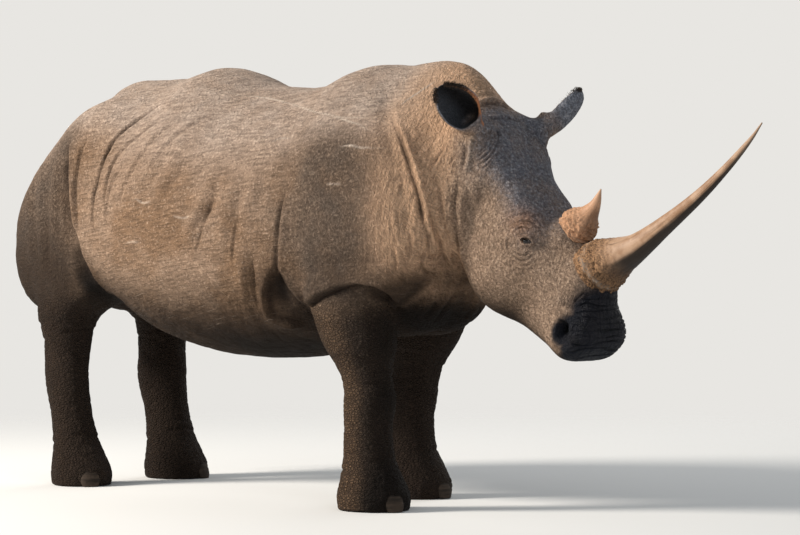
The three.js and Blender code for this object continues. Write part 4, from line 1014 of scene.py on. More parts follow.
def muzzle_wrinkles(skin):
    """Level wrinkles across the front of the muzzle, and short ones over the nose."""
    near = skin.box((0.9, -0.25, 0.55), (1.35, 0.25, 1.0))
    p = skin.points[near]
    s, t = head_axes(list(p.T))
    front = ease(skin.normals[near][:, 0], 0.15, 0.6) * ease(s, 0.8, 0.88)
    nose = ease(s, 0.76, 0.84) * (1 - front) * ease(t, -0.1, -0.02)
    warp = 0.014 * lattice_noise(p, (0.05, 0.07, 0.03), 8)
    waves = np.sin((p[:, 2] + warp) * 2 * math.pi / 0.024)
    soft = 0.55 + 0.45 * lattice_noise(p, (0.06, 0.06, 0.03), 9)
    hollow = ease(waves, 0.25, 0.98) * soft
    upright = valleys(p, (0.05, 0.018, 0.05), 14, 0.25) * 0.5
    lines = valleys(p + warp[:, None], (0.016, 0.03, 0.03), 15, 0.2)
    skin.push[near] -= (0.006 * hollow + 0.003 * upright) * front + 0.0022 * lines * nose
    # painted shade in the level and upright wrinkles of the muzzle and the short ones over the nose
    skin.darken(near, most(0.85 * hollow * front, 0.85 * upright * front, 0.42 * lines * nose))


def close_to(folds, cell):
    """A test for points beside the lines of folds."""
    path = np.vstack([f["path"] for f in folds])
    scale = np.array((1 << 20, 1 << 10, 1))
    around = np.array(list(np.ndindex(3, 3, 3))) - 1
    cells = (np.floor(path / cell).astype(int) + 512)[:, None] + around[None]
    keys = np.unique(cells.reshape(-1, 3) @ scale)
    return lambda p: np.isin((np.floor(p / cell).astype(int) + 512) @ scale, keys)


def detail_size(folds):
    """The longest edge wanted at a point of the hide, as a function of the point."""
    near_fold = close_to([f for f in folds if f["width"] < 0.013], 0.012)
    eyes = [eye_centre(side) for side in (-1, 1)]
    noses = [nose_centre(side) for side in (-1, 1)]

    def size(p):
        wanted = np.full(len(p), 1.0)
        throat = (p[:, 0] > 0.25) & (p[:, 0] < 0.5) & (p[:, 2] < 1.5)
        wanted[throat | (leg_weight(p) > 0.4) | near_fold(p)] = FOLD_EDGE
        s = head_axes(list(p.T))[0]
        wanted[(s > 0.82) & (p[:, 0] > 0.9)] = FINE_EDGE
        for eye, nose in zip(eyes, noses):
            gap = np.linalg.norm(p - eye, axis=1)
            wanted[gap < 0.1] = FINE_EDGE
            wanted[gap < 0.05] = LID_EDGE
            wanted[np.linalg.norm(p - nose, axis=1) < 0.09] = NOSE_EDGE
        ear = (np.abs(p[:, 0] - 0.64) < 0.1) & (np.abs(p[:, 2] - 1.46) < 0.14)
        wanted[ear] = np.minimum(wanted[ear], FINE_EDGE)
        return wanted

    return size


def made_skin():
    """The hide with everything worked into it."""
    folds = [f for group in (shoulder_folds, hip_folds, rib_folds, neck_folds, head_folds, mouth_folds,
                           scars) for f in group()]
    points, faces = bare_mesh()
    points, faces = refined(points, faces, detail_size(folds), 2)
    skin = Skin(points, faces)
    wrinkles(skin)
    for f in folds:
        press(skin, **f)
    leg_folds(skin)
    muzzle_wrinkles(skin)
    nostrils(skin)
    for side in (-1, 1):
        eyelids(skin, side)
    return skin


# ---------------------------------------------------------------- materials
def rgb(*screen):
    """A colour written as a screen shows it, in the renderer's own scale."""
    scaled = [c / 255 / 12.92 if c <= 10 else ((c / 255 + 0.055) / 1.055) ** 2.4 for c in screen]
    return (*scaled, 1)


class Value:
    """A socket whose arithmetic adds Math nodes."""

    def __init__(self, tree, socket):
        self.tree = tree
        self.socket = socket

    def math(self, operation, *values):
        return self.tree.node("ShaderNodeMath", {"operation": operation}, dict(enumerate(values)))

    def __add__(self, other):
        return self.math("ADD", self, other)

    def __sub__(self, other):
        return self.math("SUBTRACT", self, other)

    def __rsub__(self, other):
        return self.math("SUBTRACT", other, self)

    def __mul__(self, other):
        return self.math("MULTIPLY", self, other)

    def most(self, other):
        return self.math("MAXIMUM", self, other)

    __radd__ = __add__
    __rmul__ = __mul__


class Nodes:
    """The nodes of a material or a world: node() adds any of them, and the rest are short forms of it."""

    def __init__(self, owner):
        owner.use_nodes = True
        self.owner = owner
        self.nodes = owner.node_tree.nodes
        self.links = owner.node_tree.links
        self.nodes.clear()

    def node(self, kind, settings=None, sockets=None, out=0):
        made = self.nodes.new(kind)
        for key, value in (settings or {}).items():
            setattr(made, key, value)
        for key, value in (sockets or {}).items():
            if isinstance(value, Value):
                self.links.new(value.socket, made.inputs[key])
            else:
                made.inputs[key].default_value = value
        return Value(self, made.outputs[out]) if made.outputs else None

    def mark(self, name):
        return self.node("ShaderNodeAttribute", {"attribute_name": name}, out="Fac")

    def place(self, scale=(1, 1, 1), turn=(0, 0, 0)):
        """Object coordinates in metres, turned and then stretched."""
        at = self.node("ShaderNodeTexCoord", out="Object")
        if any(turn):
            at = self.node("ShaderNodeMapping", None, {"Vector": at, "Rotation": turn})
        return self.node("ShaderNodeMapping", None, {"Vector": at, "Scale": scale})

    def noise(self, at, scale=1.0, detail=3.0, roughness=0.55, distortion=0.0):
        return self.node("ShaderNodeTexNoise", None, {"Vector": at, "Scale": scale, "Detail": detail,
                                                      "Roughness": roughness, "Distortion": distortion})

    def cells(self, at, scale):
        """Distance from the walls between cells."""
        return self.node("ShaderNodeTexVoronoi", {"feature": "DISTANCE_TO_EDGE"},
                         {"Vector": at, "Scale": scale}, "Distance")

    def step(self, value, low, high, first=0.0, last=1.0):
        """first below low, last above high, smooth between."""
        return self.node("ShaderNodeMapRange", {"interpolation_type": "SMOOTHSTEP"},
                         {"Value": value, "From Min": low, "From Max": high, "To Min": first,
                          "To Max": last})

    def mix(self, first, second, share):
        """Two colours mixed; the node's colour sockets are its sixth and seventh, and its third out."""
        return self.node("ShaderNodeMix", {"data_type": "RGBA"}, {0: share, 6: first, 7: second}, out=2)

    def layers(self, colour, *over):
        """A colour with others laid over it in turn, each by its own share."""
        for other, share in over:
            colour = self.mix(colour, other, share)
        return colour

    def bump(self, height, distance):
        return self.node("ShaderNodeBump", None, {"Height": height, "Distance": distance}, out="Normal")

    def either(self, share, first, second):
        """Two shaders mixed."""
        return self.node("ShaderNodeMixShader", None, {0: share, 1: first, 2: second})

    def finish(self, **sockets):
        names = {"colour": "Base Color", "rough": "Roughness", "normal": "Normal", "coat": "Coat Weight",
                 "coat_rough": "Coat Roughness", "shine": "Specular IOR Level"}
        shader = self.node("ShaderNodeBsdfPrincipled", None, {names[k]: v for k, v in sockets.items()})
        self.node("ShaderNodeOutputMaterial", None, {"Surface": shader})
        return self.owner


def new_material(name):
    return Nodes(bpy.data.materials.new(name))


DUST = rgb(196, 174, 157)
HIDE = rgb(166, 138, 115)
EARTH = rgb(140, 108, 80)
SAND = rgb(238, 192, 154)
CLAY = rgb(198, 168, 143)
# painted dappled shadow on the shoulder and rump
SHADOW_GREY = rgb(90, 79, 70)
# grey ear skin with painted bluish shade where the ears face forward
ASH_AND_SKY_SHADE = rgb(150, 156, 168)
# slate grey of the less dusty forehead, deepened by painted bluish shade
SLATE_AND_SKY_SHADE = rgb(114, 123, 138)
SPECKS = rgb(170, 172, 178)
RUST = rgb(206, 150, 108)
# earth-stained brown legs, darkened further as painted shade
UMBER = rgb(112, 88, 66)
# painted shade on the forward-facing sides of the legs
SHIN_SHADE = rgb(47, 41, 36)
# painted shade beneath the body, between the legs and behind the laps
SHADE_BROWN = rgb(48, 37, 28)
# painted shade for creases, wrinkles and the cracks of the hide
CREASE_SHADE = rgb(50, 39, 32)
# painted deep shade in the darkest hollows: groin, chest, the pocket behind the elbow and the belly's bottom
DEEP_SHADE = rgb(15, 12, 10)
SCRATCH = rgb(214, 194, 176)
CHAFF = rgb(210, 188, 168)
# the muzzle's dark grey skin, deepened by painted shade on its forward-facing front and round the nostrils,
# and painted shade in its wrinkles
MUZZLE_SKIN_AND_SHADE = rgb(21, 25, 34)
MUZZLE_CREASE_SHADE = rgb(10, 11, 13)
# painted shade inside the ear's cup, and painted light on its lit side
EAR_CUP_SHADE = rgb(22, 20, 20)
EAR_LIT = rgb(74, 76, 80)
EAR_RIM = rgb(214, 136, 84)


def hide_material():
    """Dusty tan hide: streaked on the trunk, pleated on the neck, cracked on the legs and head."""
    m = new_material("hide")
    crease, head, neck, leg, shade, brow, shadow_patch, ear, muzzle = [m.mark(name) for name in (
        "crease", "head", "neck", "leg", "shade", "brow", "shadow_patch", "ear", "muzzle")]
    body = (1 - head) * (1 - neck) * (1 - leg)
    plain = m.place()
    cloudy = m.noise(plain, 2.3, 4)
    patchy = m.noise(plain, 9, 4, 0.6)
    grain = m.noise(plain, 105, 3, 0.7)
    coarse = m.step(m.noise(plain, 62, 3, 0.6), 0.36, 0.6)
    fine = m.noise(plain, 420, 2)
    # wrinkles by region, each 0 in the cracks and 1 on the pads between them
    streaks = m.step(m.noise(m.place((15, 15, 105), (0, 0.12, 0)), 1.0, 3, 0.6, 0.25), 0.36, 0.58)
    pleats = m.noise(m.place((105, 34, 16), (0, math.radians(-8), 0)), 1.0, 3, 0.6, 0.3)
    pleats = m.step(pleats, 0.38, 0.58)
    cracks = m.step(m.cells(m.place((1, 1, 1.7)), 64), 0.0, 0.3)
    small_cracks = m.step(m.cells(plain, 150), 0.0, 0.22)
    grit = m.step(grain, 0.36, 0.6)
    weave = m.noise(m.place((135, 30, 40), (0, math.radians(38), 0)), 1.0, 3, 0.6, 0.3)
    weave = m.step(weave, 0.38, 0.58)
    pads = streaks * (0.46 - 0.3 * shadow_patch) + coarse * (0.2 + 0.14 * shadow_patch) + grit * (0.34 + 0.16 * shadow_patch)
    pads = body * pads + neck * (0.42 * pleats + 0.34 * weave + 0.24 * grit)
    pads = pads + leg * (0.72 * cracks + 0.12 * coarse + 0.16 * grit)
    pads = pads + head * (0.2 * small_cracks + 0.5 * grit + 0.3 * coarse)
    relief = body * 0.66 + neck * 1.4 + leg * 2.4 + head * 0.75
    depth = body * (0.8 + 0.25 * shadow_patch) + neck * 0.64 + leg * 1.15 + head * 1.0
    speckled = m.step(m.noise(plain, 70, 3, 0.7), 0.5, 0.62)
    scratches = m.noise(m.place((6, 6, 300), (0, 0.2, 0)), 1.0, 2, 0.5, 0.5)
    pale = (m.step(scratches, 0.66, 0.74) * body * (0.26 - 0.2 * shadow_patch)).most(m.mark("pale"))
    chaff = m.step(grain, 0.56, 0.7) * (1 - shade) * (1 - 0.85 * leg) * (0.3 - 0.22 * shadow_patch)
    # painted shade in the creases, from the skin's crease weights broken up by noise
    painted_crease_shade = m.step(crease + 0.2 * (patchy - 0.5) + 0.3 * (grain - 0.5), 0.08, 0.9)
    colour = m.layers(
        HIDE,
        (EARTH, m.step(cloudy + 0.3 * patchy, 0.52, 0.8) * 0.75),
        (DUST, m.mark("dust") * m.step(patchy, 0.25, 0.7, 0.55, 1.0)),
        (SAND, neck * 0.9),
        (CLAY, head * 0.6),
        # painted dappled shadow over the shoulder and rump
        (SHADOW_GREY, shadow_patch * m.step(patchy, 0.2, 0.7, 0.95, 0.65)),
        # grey ear skin with painted bluish shade
        (ASH_AND_SKY_SHADE, ear * 0.9),
        # the forehead: less dusty slate grey skin under painted bluish shade, with pale flecks
        (SLATE_AND_SKY_SHADE, brow * (1 - ear) * m.step(patchy, 0.3, 0.7, 0.85, 0.5)),
        (SPECKS, brow * speckled * 0.6),
        (RUST, m.mark("warm") * m.step(patchy, 0.25, 0.7, 0.75, 0.4)),
        # earth-stained brown legs, darkened further as painted shade
        (UMBER, leg * 0.9),
        # painted shade on the forward-facing sides of the legs
        (SHIN_SHADE, m.mark("shin") * 0.85),
        # painted shade from the skin's shade weights
        (SHADE_BROWN, shade * m.step(patchy, 0.1, 0.6, 0.8, 1.0)),
        (SCRATCH, pale * m.step(grain, 0.3, 0.5, 0.65, 1.0)),
        # painted shade in the cracks between the pads
        (CREASE_SHADE, (1 - pads) * depth * 0.74),
        (CHAFF, chaff),
        # painted shade in the creases
        (CREASE_SHADE, painted_crease_shade * 0.86),
        # painted deep shade from the skin's pit weights
        (DEEP_SHADE, m.mark("pit") * m.step(patchy, 0.1, 0.7, 0.95, 0.8)),
        # the muzzle's dark skin deepened by painted shade, then painted shade in its wrinkles
        (MUZZLE_SKIN_AND_SHADE, muzzle * m.step(patchy, 0.2, 0.7, 0.995, 0.97)),
        (MUZZLE_CREASE_SHADE, muzzle * painted_crease_shade),
        # painted shade inside the ear's cup, lighter on its painted lit side
        (m.mix(EAR_CUP_SHADE, EAR_LIT, m.mark("ear_lit")), m.mark("ear_in") * 0.97),
        (EAR_RIM, m.mark("ear_rim") * 0.85))
    height = pads * relief * 0.85 + grain * 0.2 + fine * 0.06
    rough = 0.8 + 0.1 * patchy - 0.35 * muzzle
    return m.finish(colour=colour, rough=rough, normal=m.bump(height, 0.0125), shine=0.12)


def horn_material():
    """Matted horn: tan and polished along the shaft, brown and frayed at the base, with painted shade
    beneath.
    """
    m = new_material("horn")
    base, tawny = m.mark("base"), m.mark("tawny")
    plain = m.place()
    patchy = m.noise(plain, 16, 4, 0.6)
    grit = m.noise(plain, 150, 3, 0.65)
    shaft = m.mix(rgb(182, 148, 120), rgb(152, 116, 88), m.step(patchy, 0.35, 0.65))
    rough_base = m.mix(rgb(166, 126, 90), rgb(78, 56, 40), m.step(grit + 0.4 * patchy, 0.55, 0.85))
    colour = m.layers(
        shaft,
        (rough_base, base),
        (rgb(208, 158, 122), tawny * m.step(grit, 0.3, 0.6, 0.9, 0.5)),
        # darker where the fibres and knots sink
        (rgb(84, 64, 48), m.step(m.mark("fibre"), 0.45, 0.1) * (1 - 0.4 * tawny) * 0.6),
        # painted shade on the underside, and on the forward face of the rear horn
        (rgb(17, 13, 11), m.mark("under") * (0.96 - 0.4 * tawny)),
        (rgb(196, 170, 146), m.step(m.mark("along"), 0.7, 1.0) * 0.2),
        (rgb(190, 172, 154), m.mark("root") * m.step(grit, 0.35, 0.6) * 0.5))
    height = 1.3 * grit * (0.15 + base) + 0.4 * m.noise(plain, 60, 3)
    return m.finish(colour=colour, rough=0.5 + 0.35 * base, normal=m.bump(height, 0.0016), shine=0.22)


def nail_material():
    m = new_material("toenail")
    bands = m.noise(m.place((6, 6, 90)), 1.0, 3)
    spots = m.noise(m.place(), 60, 3)
    colour = m.mix(rgb(42, 36, 31), rgb(70, 59, 50), m.step(bands, 0.35, 0.65))
    colour = m.mix(colour, rgb(42, 34, 28), m.step(spots, 0.55, 0.72) * 0.6)
    height = 0.7 * bands + 0.3 * spots
    return m.finish(colour=colour, rough=0.72 + 0.12 * spots, normal=m.bump(height, 0.0016), shine=0.12)


def eye_material():
    m = new_material("eye")
    ring, pupil = m.mark("ring"), m.mark("pupil")
    rays = m.noise(m.place(), 700, 2)
    colour = m.layers(
        m.mix(rgb(30, 19, 12), rgb(52, 34, 20), rays),
        (rgb(6, 5, 5), m.step(pupil, 0.36, 0.28)),
        (rgb(24, 17, 14), m.step(ring, 0.62, 0.72)),
        (rgb(120, 96, 84), m.step(ring, 0.85, 1.05) * 0.8))
    return m.finish(colour=colour, rough=0.16, coat=0.25, coat_rough=0.05, shine=0.3)


def hair_material():
    m = new_material("hair")
    tone = m.noise(m.place(), 130, 2)
    colour = m.mix(rgb(24, 19, 16), rgb(70, 54, 42), m.step(tone, 0.35, 0.7))
    return m.finish(colour=colour, rough=0.55, shine=0.3)


HORN, NAIL, EYE, HAIR = horn_material(), nail_material(), eye_material(), hair_material()


# ---------------------------------------------------------------- pieces
# the row's frame is the animal's own, moved along x and y; the eyes say how far
_eye_low, _eye_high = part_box("eye_right")
_left_low, _left_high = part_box("eye_left")
SHIFT = np.array(((_eye_low.x + _eye_high.x) / 2 - on_head(EYE_AT["s"], EYE_AT["t"])[0],
                  (_eye_low.y + _eye_high.y + _left_low.y + _left_high.y) / 4, 0))


def placed(name, data, place=(0, 0, 0)):
    """An object in the scene."""
    made = bpy.data.objects.new(name, data)
    made.location = place
    bpy.context.scene.collection.objects.link(made)
    return made


def piece(name, points, faces, slot, material, replaces=(), **attributes):
    """A mesh object in the row's frame from points in the animal's; attributes are floats by point."""
    points = np.asarray(points, float) + SHIFT
    faces = np.asarray(faces)
    sides = faces.shape[1]
    mesh = bpy.data.meshes.new(name)
    mesh.vertices.add(len(points))
    mesh.vertices.foreach_set("co", points.ravel())
    mesh.loops.add(faces.size)
    mesh.loops.foreach_set("vertex_index", faces.ravel().astype(np.int32))
    mesh.polygons.add(len(faces))
    mesh.polygons.foreach_set("loop_start", np.arange(0, faces.size, sides, dtype=np.int32))
    mesh.polygons.foreach_set("use_smooth", np.full(len(faces), True))
    mesh.update()
    mesh.materials.append(material)
    for key, values in attributes.items():
        layer = mesh.attributes.new(key, "FLOAT", "POINT")
        layer.data.foreach_set("value", np.asarray(values, np.float32))
    made = placed(name, mesh)
    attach(made, "root")
    if replaces:
        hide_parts(*replaces)
    return made


def set_uv(made, uv):
    """Gives a mesh its map for the colours, from one place for each face corner."""
    layer = made.data.uv_layers.new(name="OFBake")
    layer.uv.foreach_set("vector", np.ascontiguousarray(uv, np.float32).ravel())


def grid_faces(rows, columns, closed=True):
    """Four-sided faces of a grid of points, closed round its columns."""
    r, c = np.meshgrid(np.arange(rows - 1), np.arange(columns if closed else columns - 1), indexing="ij")
    r, c = r.ravel(), c.ravel()
    d = (c + 1) % columns
    return np.stack([r * columns + c, r * columns + d, (r + 1) * columns + d, (r + 1) * columns + c], 1)


def ball(rows, sides):
    """Angle from the pole and direction from the centre of each point of a ball, ring by ring."""
    polar = np.repeat(np.linspace(0, math.pi, rows), sides)
    turn = np.tile(np.linspace(0, 2 * math.pi, sides, endpoint=False), rows)
    return polar, np.stack([np.sin(polar) * np.cos(turn), np.sin(polar) * np.sin(turn), np.cos(polar)], 1)


def sweep(path, radius, sides):
    """Rings round a path in the mid plane: ring points, turn round the path and share of its length."""
    tangent = unit(np.gradient(path, axis=0))
    across = np.array((0.0, 1.0, 0.0))
    up = unit(np.cross(tangent, across))
    turn = np.linspace(0, 2 * math.pi, sides, endpoint=False)
    out = up[:, None] * np.cos(turn)[None, :, None] + across * np.sin(turn)[None, :, None]
    points = path[:, None] + out * radius[:, None, None]
    return points.reshape(-1, 3), np.tile(turn, len(path)), np.repeat(np.linspace(0, 1, len(path)), sides)


# ---- the skin's map: a chart for each side of each part, laid in rows
def part_of(p):
    """A number for the part of the animal that a point belongs to."""
    part = np.zeros(len(p), int)
    part[p[:, 0] > 0.56] = 1
    for i, leg in enumerate(LEGS.values()):
        x = leg["foot"][0]
        part[(np.abs(p[:, 0] - x) < 0.26) & (p[:, 1] * leg["side"] > 0) & (p[:, 2] < 0.72)] = 2 + i
    for i, side in enumerate((-1, 1)):
        u = ear_axes(list(p.T), side)[0]
        part[(u > 0.06) & (p[:, 1] * side > 0.17) & (p[:, 2] > 1.44) & (p[:, 0] > 0.5)] = 6 + i
    part[p[:, 0] < -2.035] = 8
    return part


def unwrap(points, normals, faces):
    """Map places for the corners of the skin's faces."""
    centre = points[faces].mean(1)
    facing = normals[faces].mean(1)
    axis = np.abs(facing).argmax(1)
    sign = facing[np.arange(len(faces)), axis] > 0
    chart = part_of(centre) * 6 + axis * 2 + sign
    corners = points[faces]
    place = np.zeros((len(faces), 3, 2))
    boxes = []
    for number in np.unique(chart):
        mine = chart == number
        a, b = [i for i in range(3) if i != (number % 6) // 2]
        flat = corners[mine][:, :, [a, b]]
        low = flat.reshape(-1, 2).min(0)
        flat -= low
        size = flat.reshape(-1, 2).max(0)
        if size[0] < size[1]:
            flat = flat[:, :, ::-1]
            size = size[::-1]
        place[mine] = flat
        boxes.append((size[1], size[0], number))
    boxes.sort(reverse=True)
    margin = 0.02
    wide = 1.12 * math.sqrt(sum((w + margin) * (h + margin) for h, w, _ in boxes))
    wide = max(wide, max(w for _, w, _ in boxes) + 2 * margin)
    x = y = margin
    row = 0
    for h, w, number in boxes:
        if x + w + margin > wide:
            x, y, row = margin, y + row + margin, 0
        place[chart == number] += (x, y)
        x += w + margin
        row = max(row, h)
    return place / max(wide, y + row + margin)


def skin_marks(skin):
    """Weights of the skin's regions at its points, for the materials."""
    n = skin.normals
    s, t = head_axes(list(skin.points.T))
    x, y, z = skin.points.T
    # painted shade laid in folds and hollows, and the pale of scars
    marks = {"crease": np.clip(skin.crease, 0, 1), "pale": skin.pale}
    on_the_head = ease(x, 0.5, 0.62)
    marks["head"] = on_the_head
    marks["neck"] = ease(x, 0.13, 0.46) * (1 - on_the_head)
    leg = leg_weight(skin.points)
    marks["leg"] = leg
    # the muzzle: dark skin, with painted shade where it faces forward and round the nostrils
    low_nose = ease(z, 0.86, 0.78) * ease(s, 0.84, 0.9)
    facing = np.maximum(ease(n[:, 0], 0.02, 0.42), ease(n[:, 0], -0.3, 0.1) * low_nose)
    noses = [ease(np.linalg.norm(skin.points - nose_centre(side), axis=1), 0.075, 0.04) for side in (-1, 1)]
    marks["muzzle"] = most(ease(s, 0.76, 0.86) * facing, *noses) * on_the_head
    marks["dust"] = ease(z, 1.2, 1.5) * ease(x, 0.5, 0.3) * ease(n[:, 2], 0.1, 0.7)
    # painted dappled shadow over the shoulder and rump, less where the hide faces up
    shoulder = np.minimum(1, 1.2 * bell(x - 0.1, 0.27)) * ease(z, 0.7, 0.85) * ease(x, 0.52, 0.25)
    rump = ease(x, -1.38, -1.62) * ease(z, 0.6, 0.8)
    marks["shadow_patch"] = np.maximum(shoulder, rump) * ease(n[:, 2], 0.8, 0.2)
    beside_eye = np.stack([x - 0.86, np.abs(y) - 0.17, z - 1.14], 1)
    marks["warm"] = bell(np.linalg.norm(beside_eye, axis=1), 0.06)
    # the ears: painted shade in the cup and painted light on one side of it, the orange rim, and the
    # forward-facing skin that takes painted bluish shade
    ears = {name: np.zeros(len(x)) for name in ("ear_in", "ear_lit", "ear_rim", "ear")}
    for side in (-1, 1):
        u, a, b = ear_axes(list(skin.points.T), side)
        q = np.clip(u / EAR_LENGTH, 0, 1)
        w, depth = EAR_HALF_WIDTH(q), EAR_HALF_DEPTH(q)
        rho = np.hypot(a / w, b / depth)
        mine = (u > 0.05) & (u < 1.05 * EAR_LENGTH) & (rho < 1.4) & (y * side > 0.15)
        edge = bell(b - 0.36 * depth, 0.012) * ease(rho, 0.75, 0.92)
        edge = edge * ease(n @ ear_frame(side)[3], -0.2, 0.3) * ease(a * side, 0.2 * w.min(), 0.03)
        for name, value in (("ear_in", ease(rho, 0.97, 0.8) * ease(u, 0.07, 0.1)),
                            ("ear_lit", ease(a, -0.02, 0.045)), ("ear_rim", edge),
                            ("ear", ease(u, 0.07, 0.14) * ease(n[:, 0], -0.2, 0.3))):
            ears[name] = np.maximum(ears[name], value * mine)
    marks.update(ears)
    # shade that soft light leaves out: beneath the body, between the legs and behind the laps
    under = ease(n[:, 2], -0.1, -0.8) * ease(z, 1.1, 0.85)
    within = ease(-n[:, 1] * np.sign(y), -0.2, 0.6) * ease(z, 0.95, 0.8) * ease(np.abs(y), 0.33, 0.25)
    throat = bell(np.hypot(x - 0.46, z - 0.88), 0.09)
    chest = ease(x, 0.2, 0.28) * ease(z, 0.87, 0.76) * ease(x, 0.56, 0.5)
    thigh = ease(x, -1.44, -1.56) * ease(z, 1.3, 0.85) * 0.9
    set_back = 0.26 * (y > 0)
    pocket = bell(np.hypot((x + 0.21 + set_back) / 0.036, (z - 0.86) / 0.08), 1.0) * (1 - leg)
    elbow = bell(np.hypot(x + 0.24 + set_back, z - 0.85), 0.1)
    groin = bell(x + 1.44 - 0.4 * (0.87 - z), 0.075) * bell(z - 0.84, 0.12)
    belly = ease(z, 0.9, 0.66) * ease(x, -1.5, -1.2) * ease(x, 0.1, -0.15) * ease(z, 0.5, 0.55)
    deep = ease(z, 0.73, 0.62) * ease(x, -0.95, -0.5) * ease(x, 0.1, -0.1) * (1 - leg)
    low = shoulder * ease(z, 1.2, 0.92) * (1 - leg)
    # painted deep shade in the darkest hollows
    marks["pit"] = most(groin, 0.8 * chest, 0.95 * deep, 0.85 * pocket)
    marks["shade"] = most(under, within, throat, chest, thigh, elbow, groin, 0.9 * belly, 0.4 * low)
    # painted shade where the legs face forward
    marks["shin"] = leg * ease(n[:, 0], -0.15, 0.6)
    # the forehead where it faces out of the head: less dusty skin under painted bluish shade
    forehead = ease(t, -0.16, 0.02) * ease(s, 0.66, 0.4) * ease(n @ OUT_OF_HEAD, -0.1, 0.9)
    marks["brow"] = forehead * on_the_head
    return marks


FLESH = ["trunk", "neck", "head", "jaw", "tail", *[f"leg_{name}" for name in LEGS], "ear_left", "ear_right"]


def skin_piece(skin):
    """Makes the skin's object and returns the place of each of its points on its map."""
    made = piece("skin", skin.done(), skin.faces, "hide", hide_material(), FLESH, **skin_marks(skin))
    uv = unwrap(skin.points, skin.normals, skin.faces)
    set_uv(made, uv)
    place = np.zeros((len(skin.points), 2))
    place[skin.faces.ravel()] = uv.reshape(-1, 2)
    return place


# ---- eyes
SIDE_NAMES = {-1: "right", 1: "left"}


def eye_piece(side):
    """Eyeball with a raised cornea, set square behind the lids."""
    axes = np.stack(eye_axes(side))
    polar, out = ball(49, 64)
    local = out * (EYE_RADIUS * (0.985 + 0.03 * ease(polar, 0.75, 0.3)))[:, None]
    slit = np.hypot(out[:, 0] / 1.35, out[:, 1])
    name = SIDE_NAMES[side]
    faces = grid_faces(49, 64)
    if np.linalg.det(axes) > 0:
        faces = faces[:, ::-1]
    piece(f"eyeball_{name}", eye_centre(side) + local @ axes, faces, "eye", EYE, [f"eye_{name}"],
          ring=polar, pupil=np.where(polar < 1.5, slit, 2))


# ---- horns
FRONT_HORN = dict(
    path=[(1.085, 0, 0.947), (1.12, 0, 0.97), (1.2, 0, 1.004), (1.3, 0, 1.046), (1.43, 0, 1.124),
          (1.6, 0, 1.236), (1.74, 0, 1.346), (1.85, 0, 1.446), (1.906, 0, 1.508)],
    radius=curve((0, 0.106), (0.06, 0.102), (0.1, 0.088), (0.16, 0.069), (0.24, 0.052), (0.36, 0.039),
                 (0.5, 0.029), (0.7, 0.019), (0.86, 0.012), (1, 0.0025)), rough=0.16, tawny=0.0)
REAR_HORN = dict(
    path=[(0.985, 0, 1.105), (1.012, 0, 1.13), (1.05, 0, 1.165), (1.085, 0, 1.205), (1.113, 0, 1.262)],
    radius=curve((0, 0.074), (0.15, 0.072), (0.28, 0.062), (0.45, 0.04), (0.65, 0.024), (0.85, 0.012),
                 (1, 0.0025)), rough=0.45, tawny=1.0)


def horn_piece(node, horn, seed):
    """Matted fibres: fine ridges along the horn, knotted and frayed in rings toward its base."""
    rings, sides = 300, 96
    path = smooth_path(horn["path"], rings)
    share = np.linspace(0, 1, rings)
    points, turn, along = sweep(path, horn["radius"](share), sides)
    centre = np.repeat(path, sides, 0)
    out = unit(points - centre + 1e-9)
    length = np.linalg.norm(np.diff(path, axis=0), axis=1).sum()
    wrapped = np.stack([along * length / 0.10, np.cos(turn) * 9, np.sin(turn) * 9], 1)
    fibre = lattice_noise(wrapped, 1.0, seed) + 0.6 * lattice_noise(wrapped * (2, 2.3, 2.3), 1.0, seed + 1)
    base = ease(along, horn["rough"] * 1.25, horn["rough"] * 0.45)
    knot = lattice_noise(points, 0.013, seed + 2) + 0.6 * lattice_noise(points, 0.007, seed + 3)
    ring = np.sin(along * length / 0.017 * 2 * math.pi + 3 * lattice_noise(points, 0.04, seed + 4))
    size = np.repeat(horn["radius"](share), sides)
    push = 0.014 * size * fibre + base * (0.0070 * knot + 0.0012 * ring)
    push *= ease(along, 1.0, 0.93)
    # how high the fibres and knots stand; the horn's colour is darker where they sink
    fibre_height = np.clip(0.5 + 0.35 * fibre + 0.4 * knot * base, 0, 1)
    ragged = along + 0.018 * lattice_noise(points, 0.03, seed + 5)
    root = bell(ragged - 0.05, 0.011) * ease(lattice_noise(points, 0.012, seed + 6), -0.6, 0.3)
    # painted shade on the underside, and on the forward face of the rear horn
    under = ease(out[:, 2] + 0.3 * out[:, 0] + 0.06 * fibre, -0.14, -0.48) * (1 - 0.5 * base)
    under = np.maximum(under, 0.7 * horn["tawny"] * ease(out[:, 0], 0.75, 1.0))
    tawny = np.full(len(points), horn["tawny"])
    piece(node + "_fibres", points + out * push[:, None], grid_faces(rings, sides), "horn", HORN, [node],
          along=along, base=base, fibre=fibre_height, root=root, under=under, tawny=tawny)


# ---- toenails
def leaves_hide(origin, direction):
    """Where a line from inside the hide comes out of it."""
    low, high = 0.0, 0.6
    for _ in range(30):
        middle = (low + high) / 2
        at = origin + direction * middle
        if hide([np.array([c]) for c in at], extras=False)[0] < 0:
            low = middle
        else:
            high = middle
    return origin + direction * low


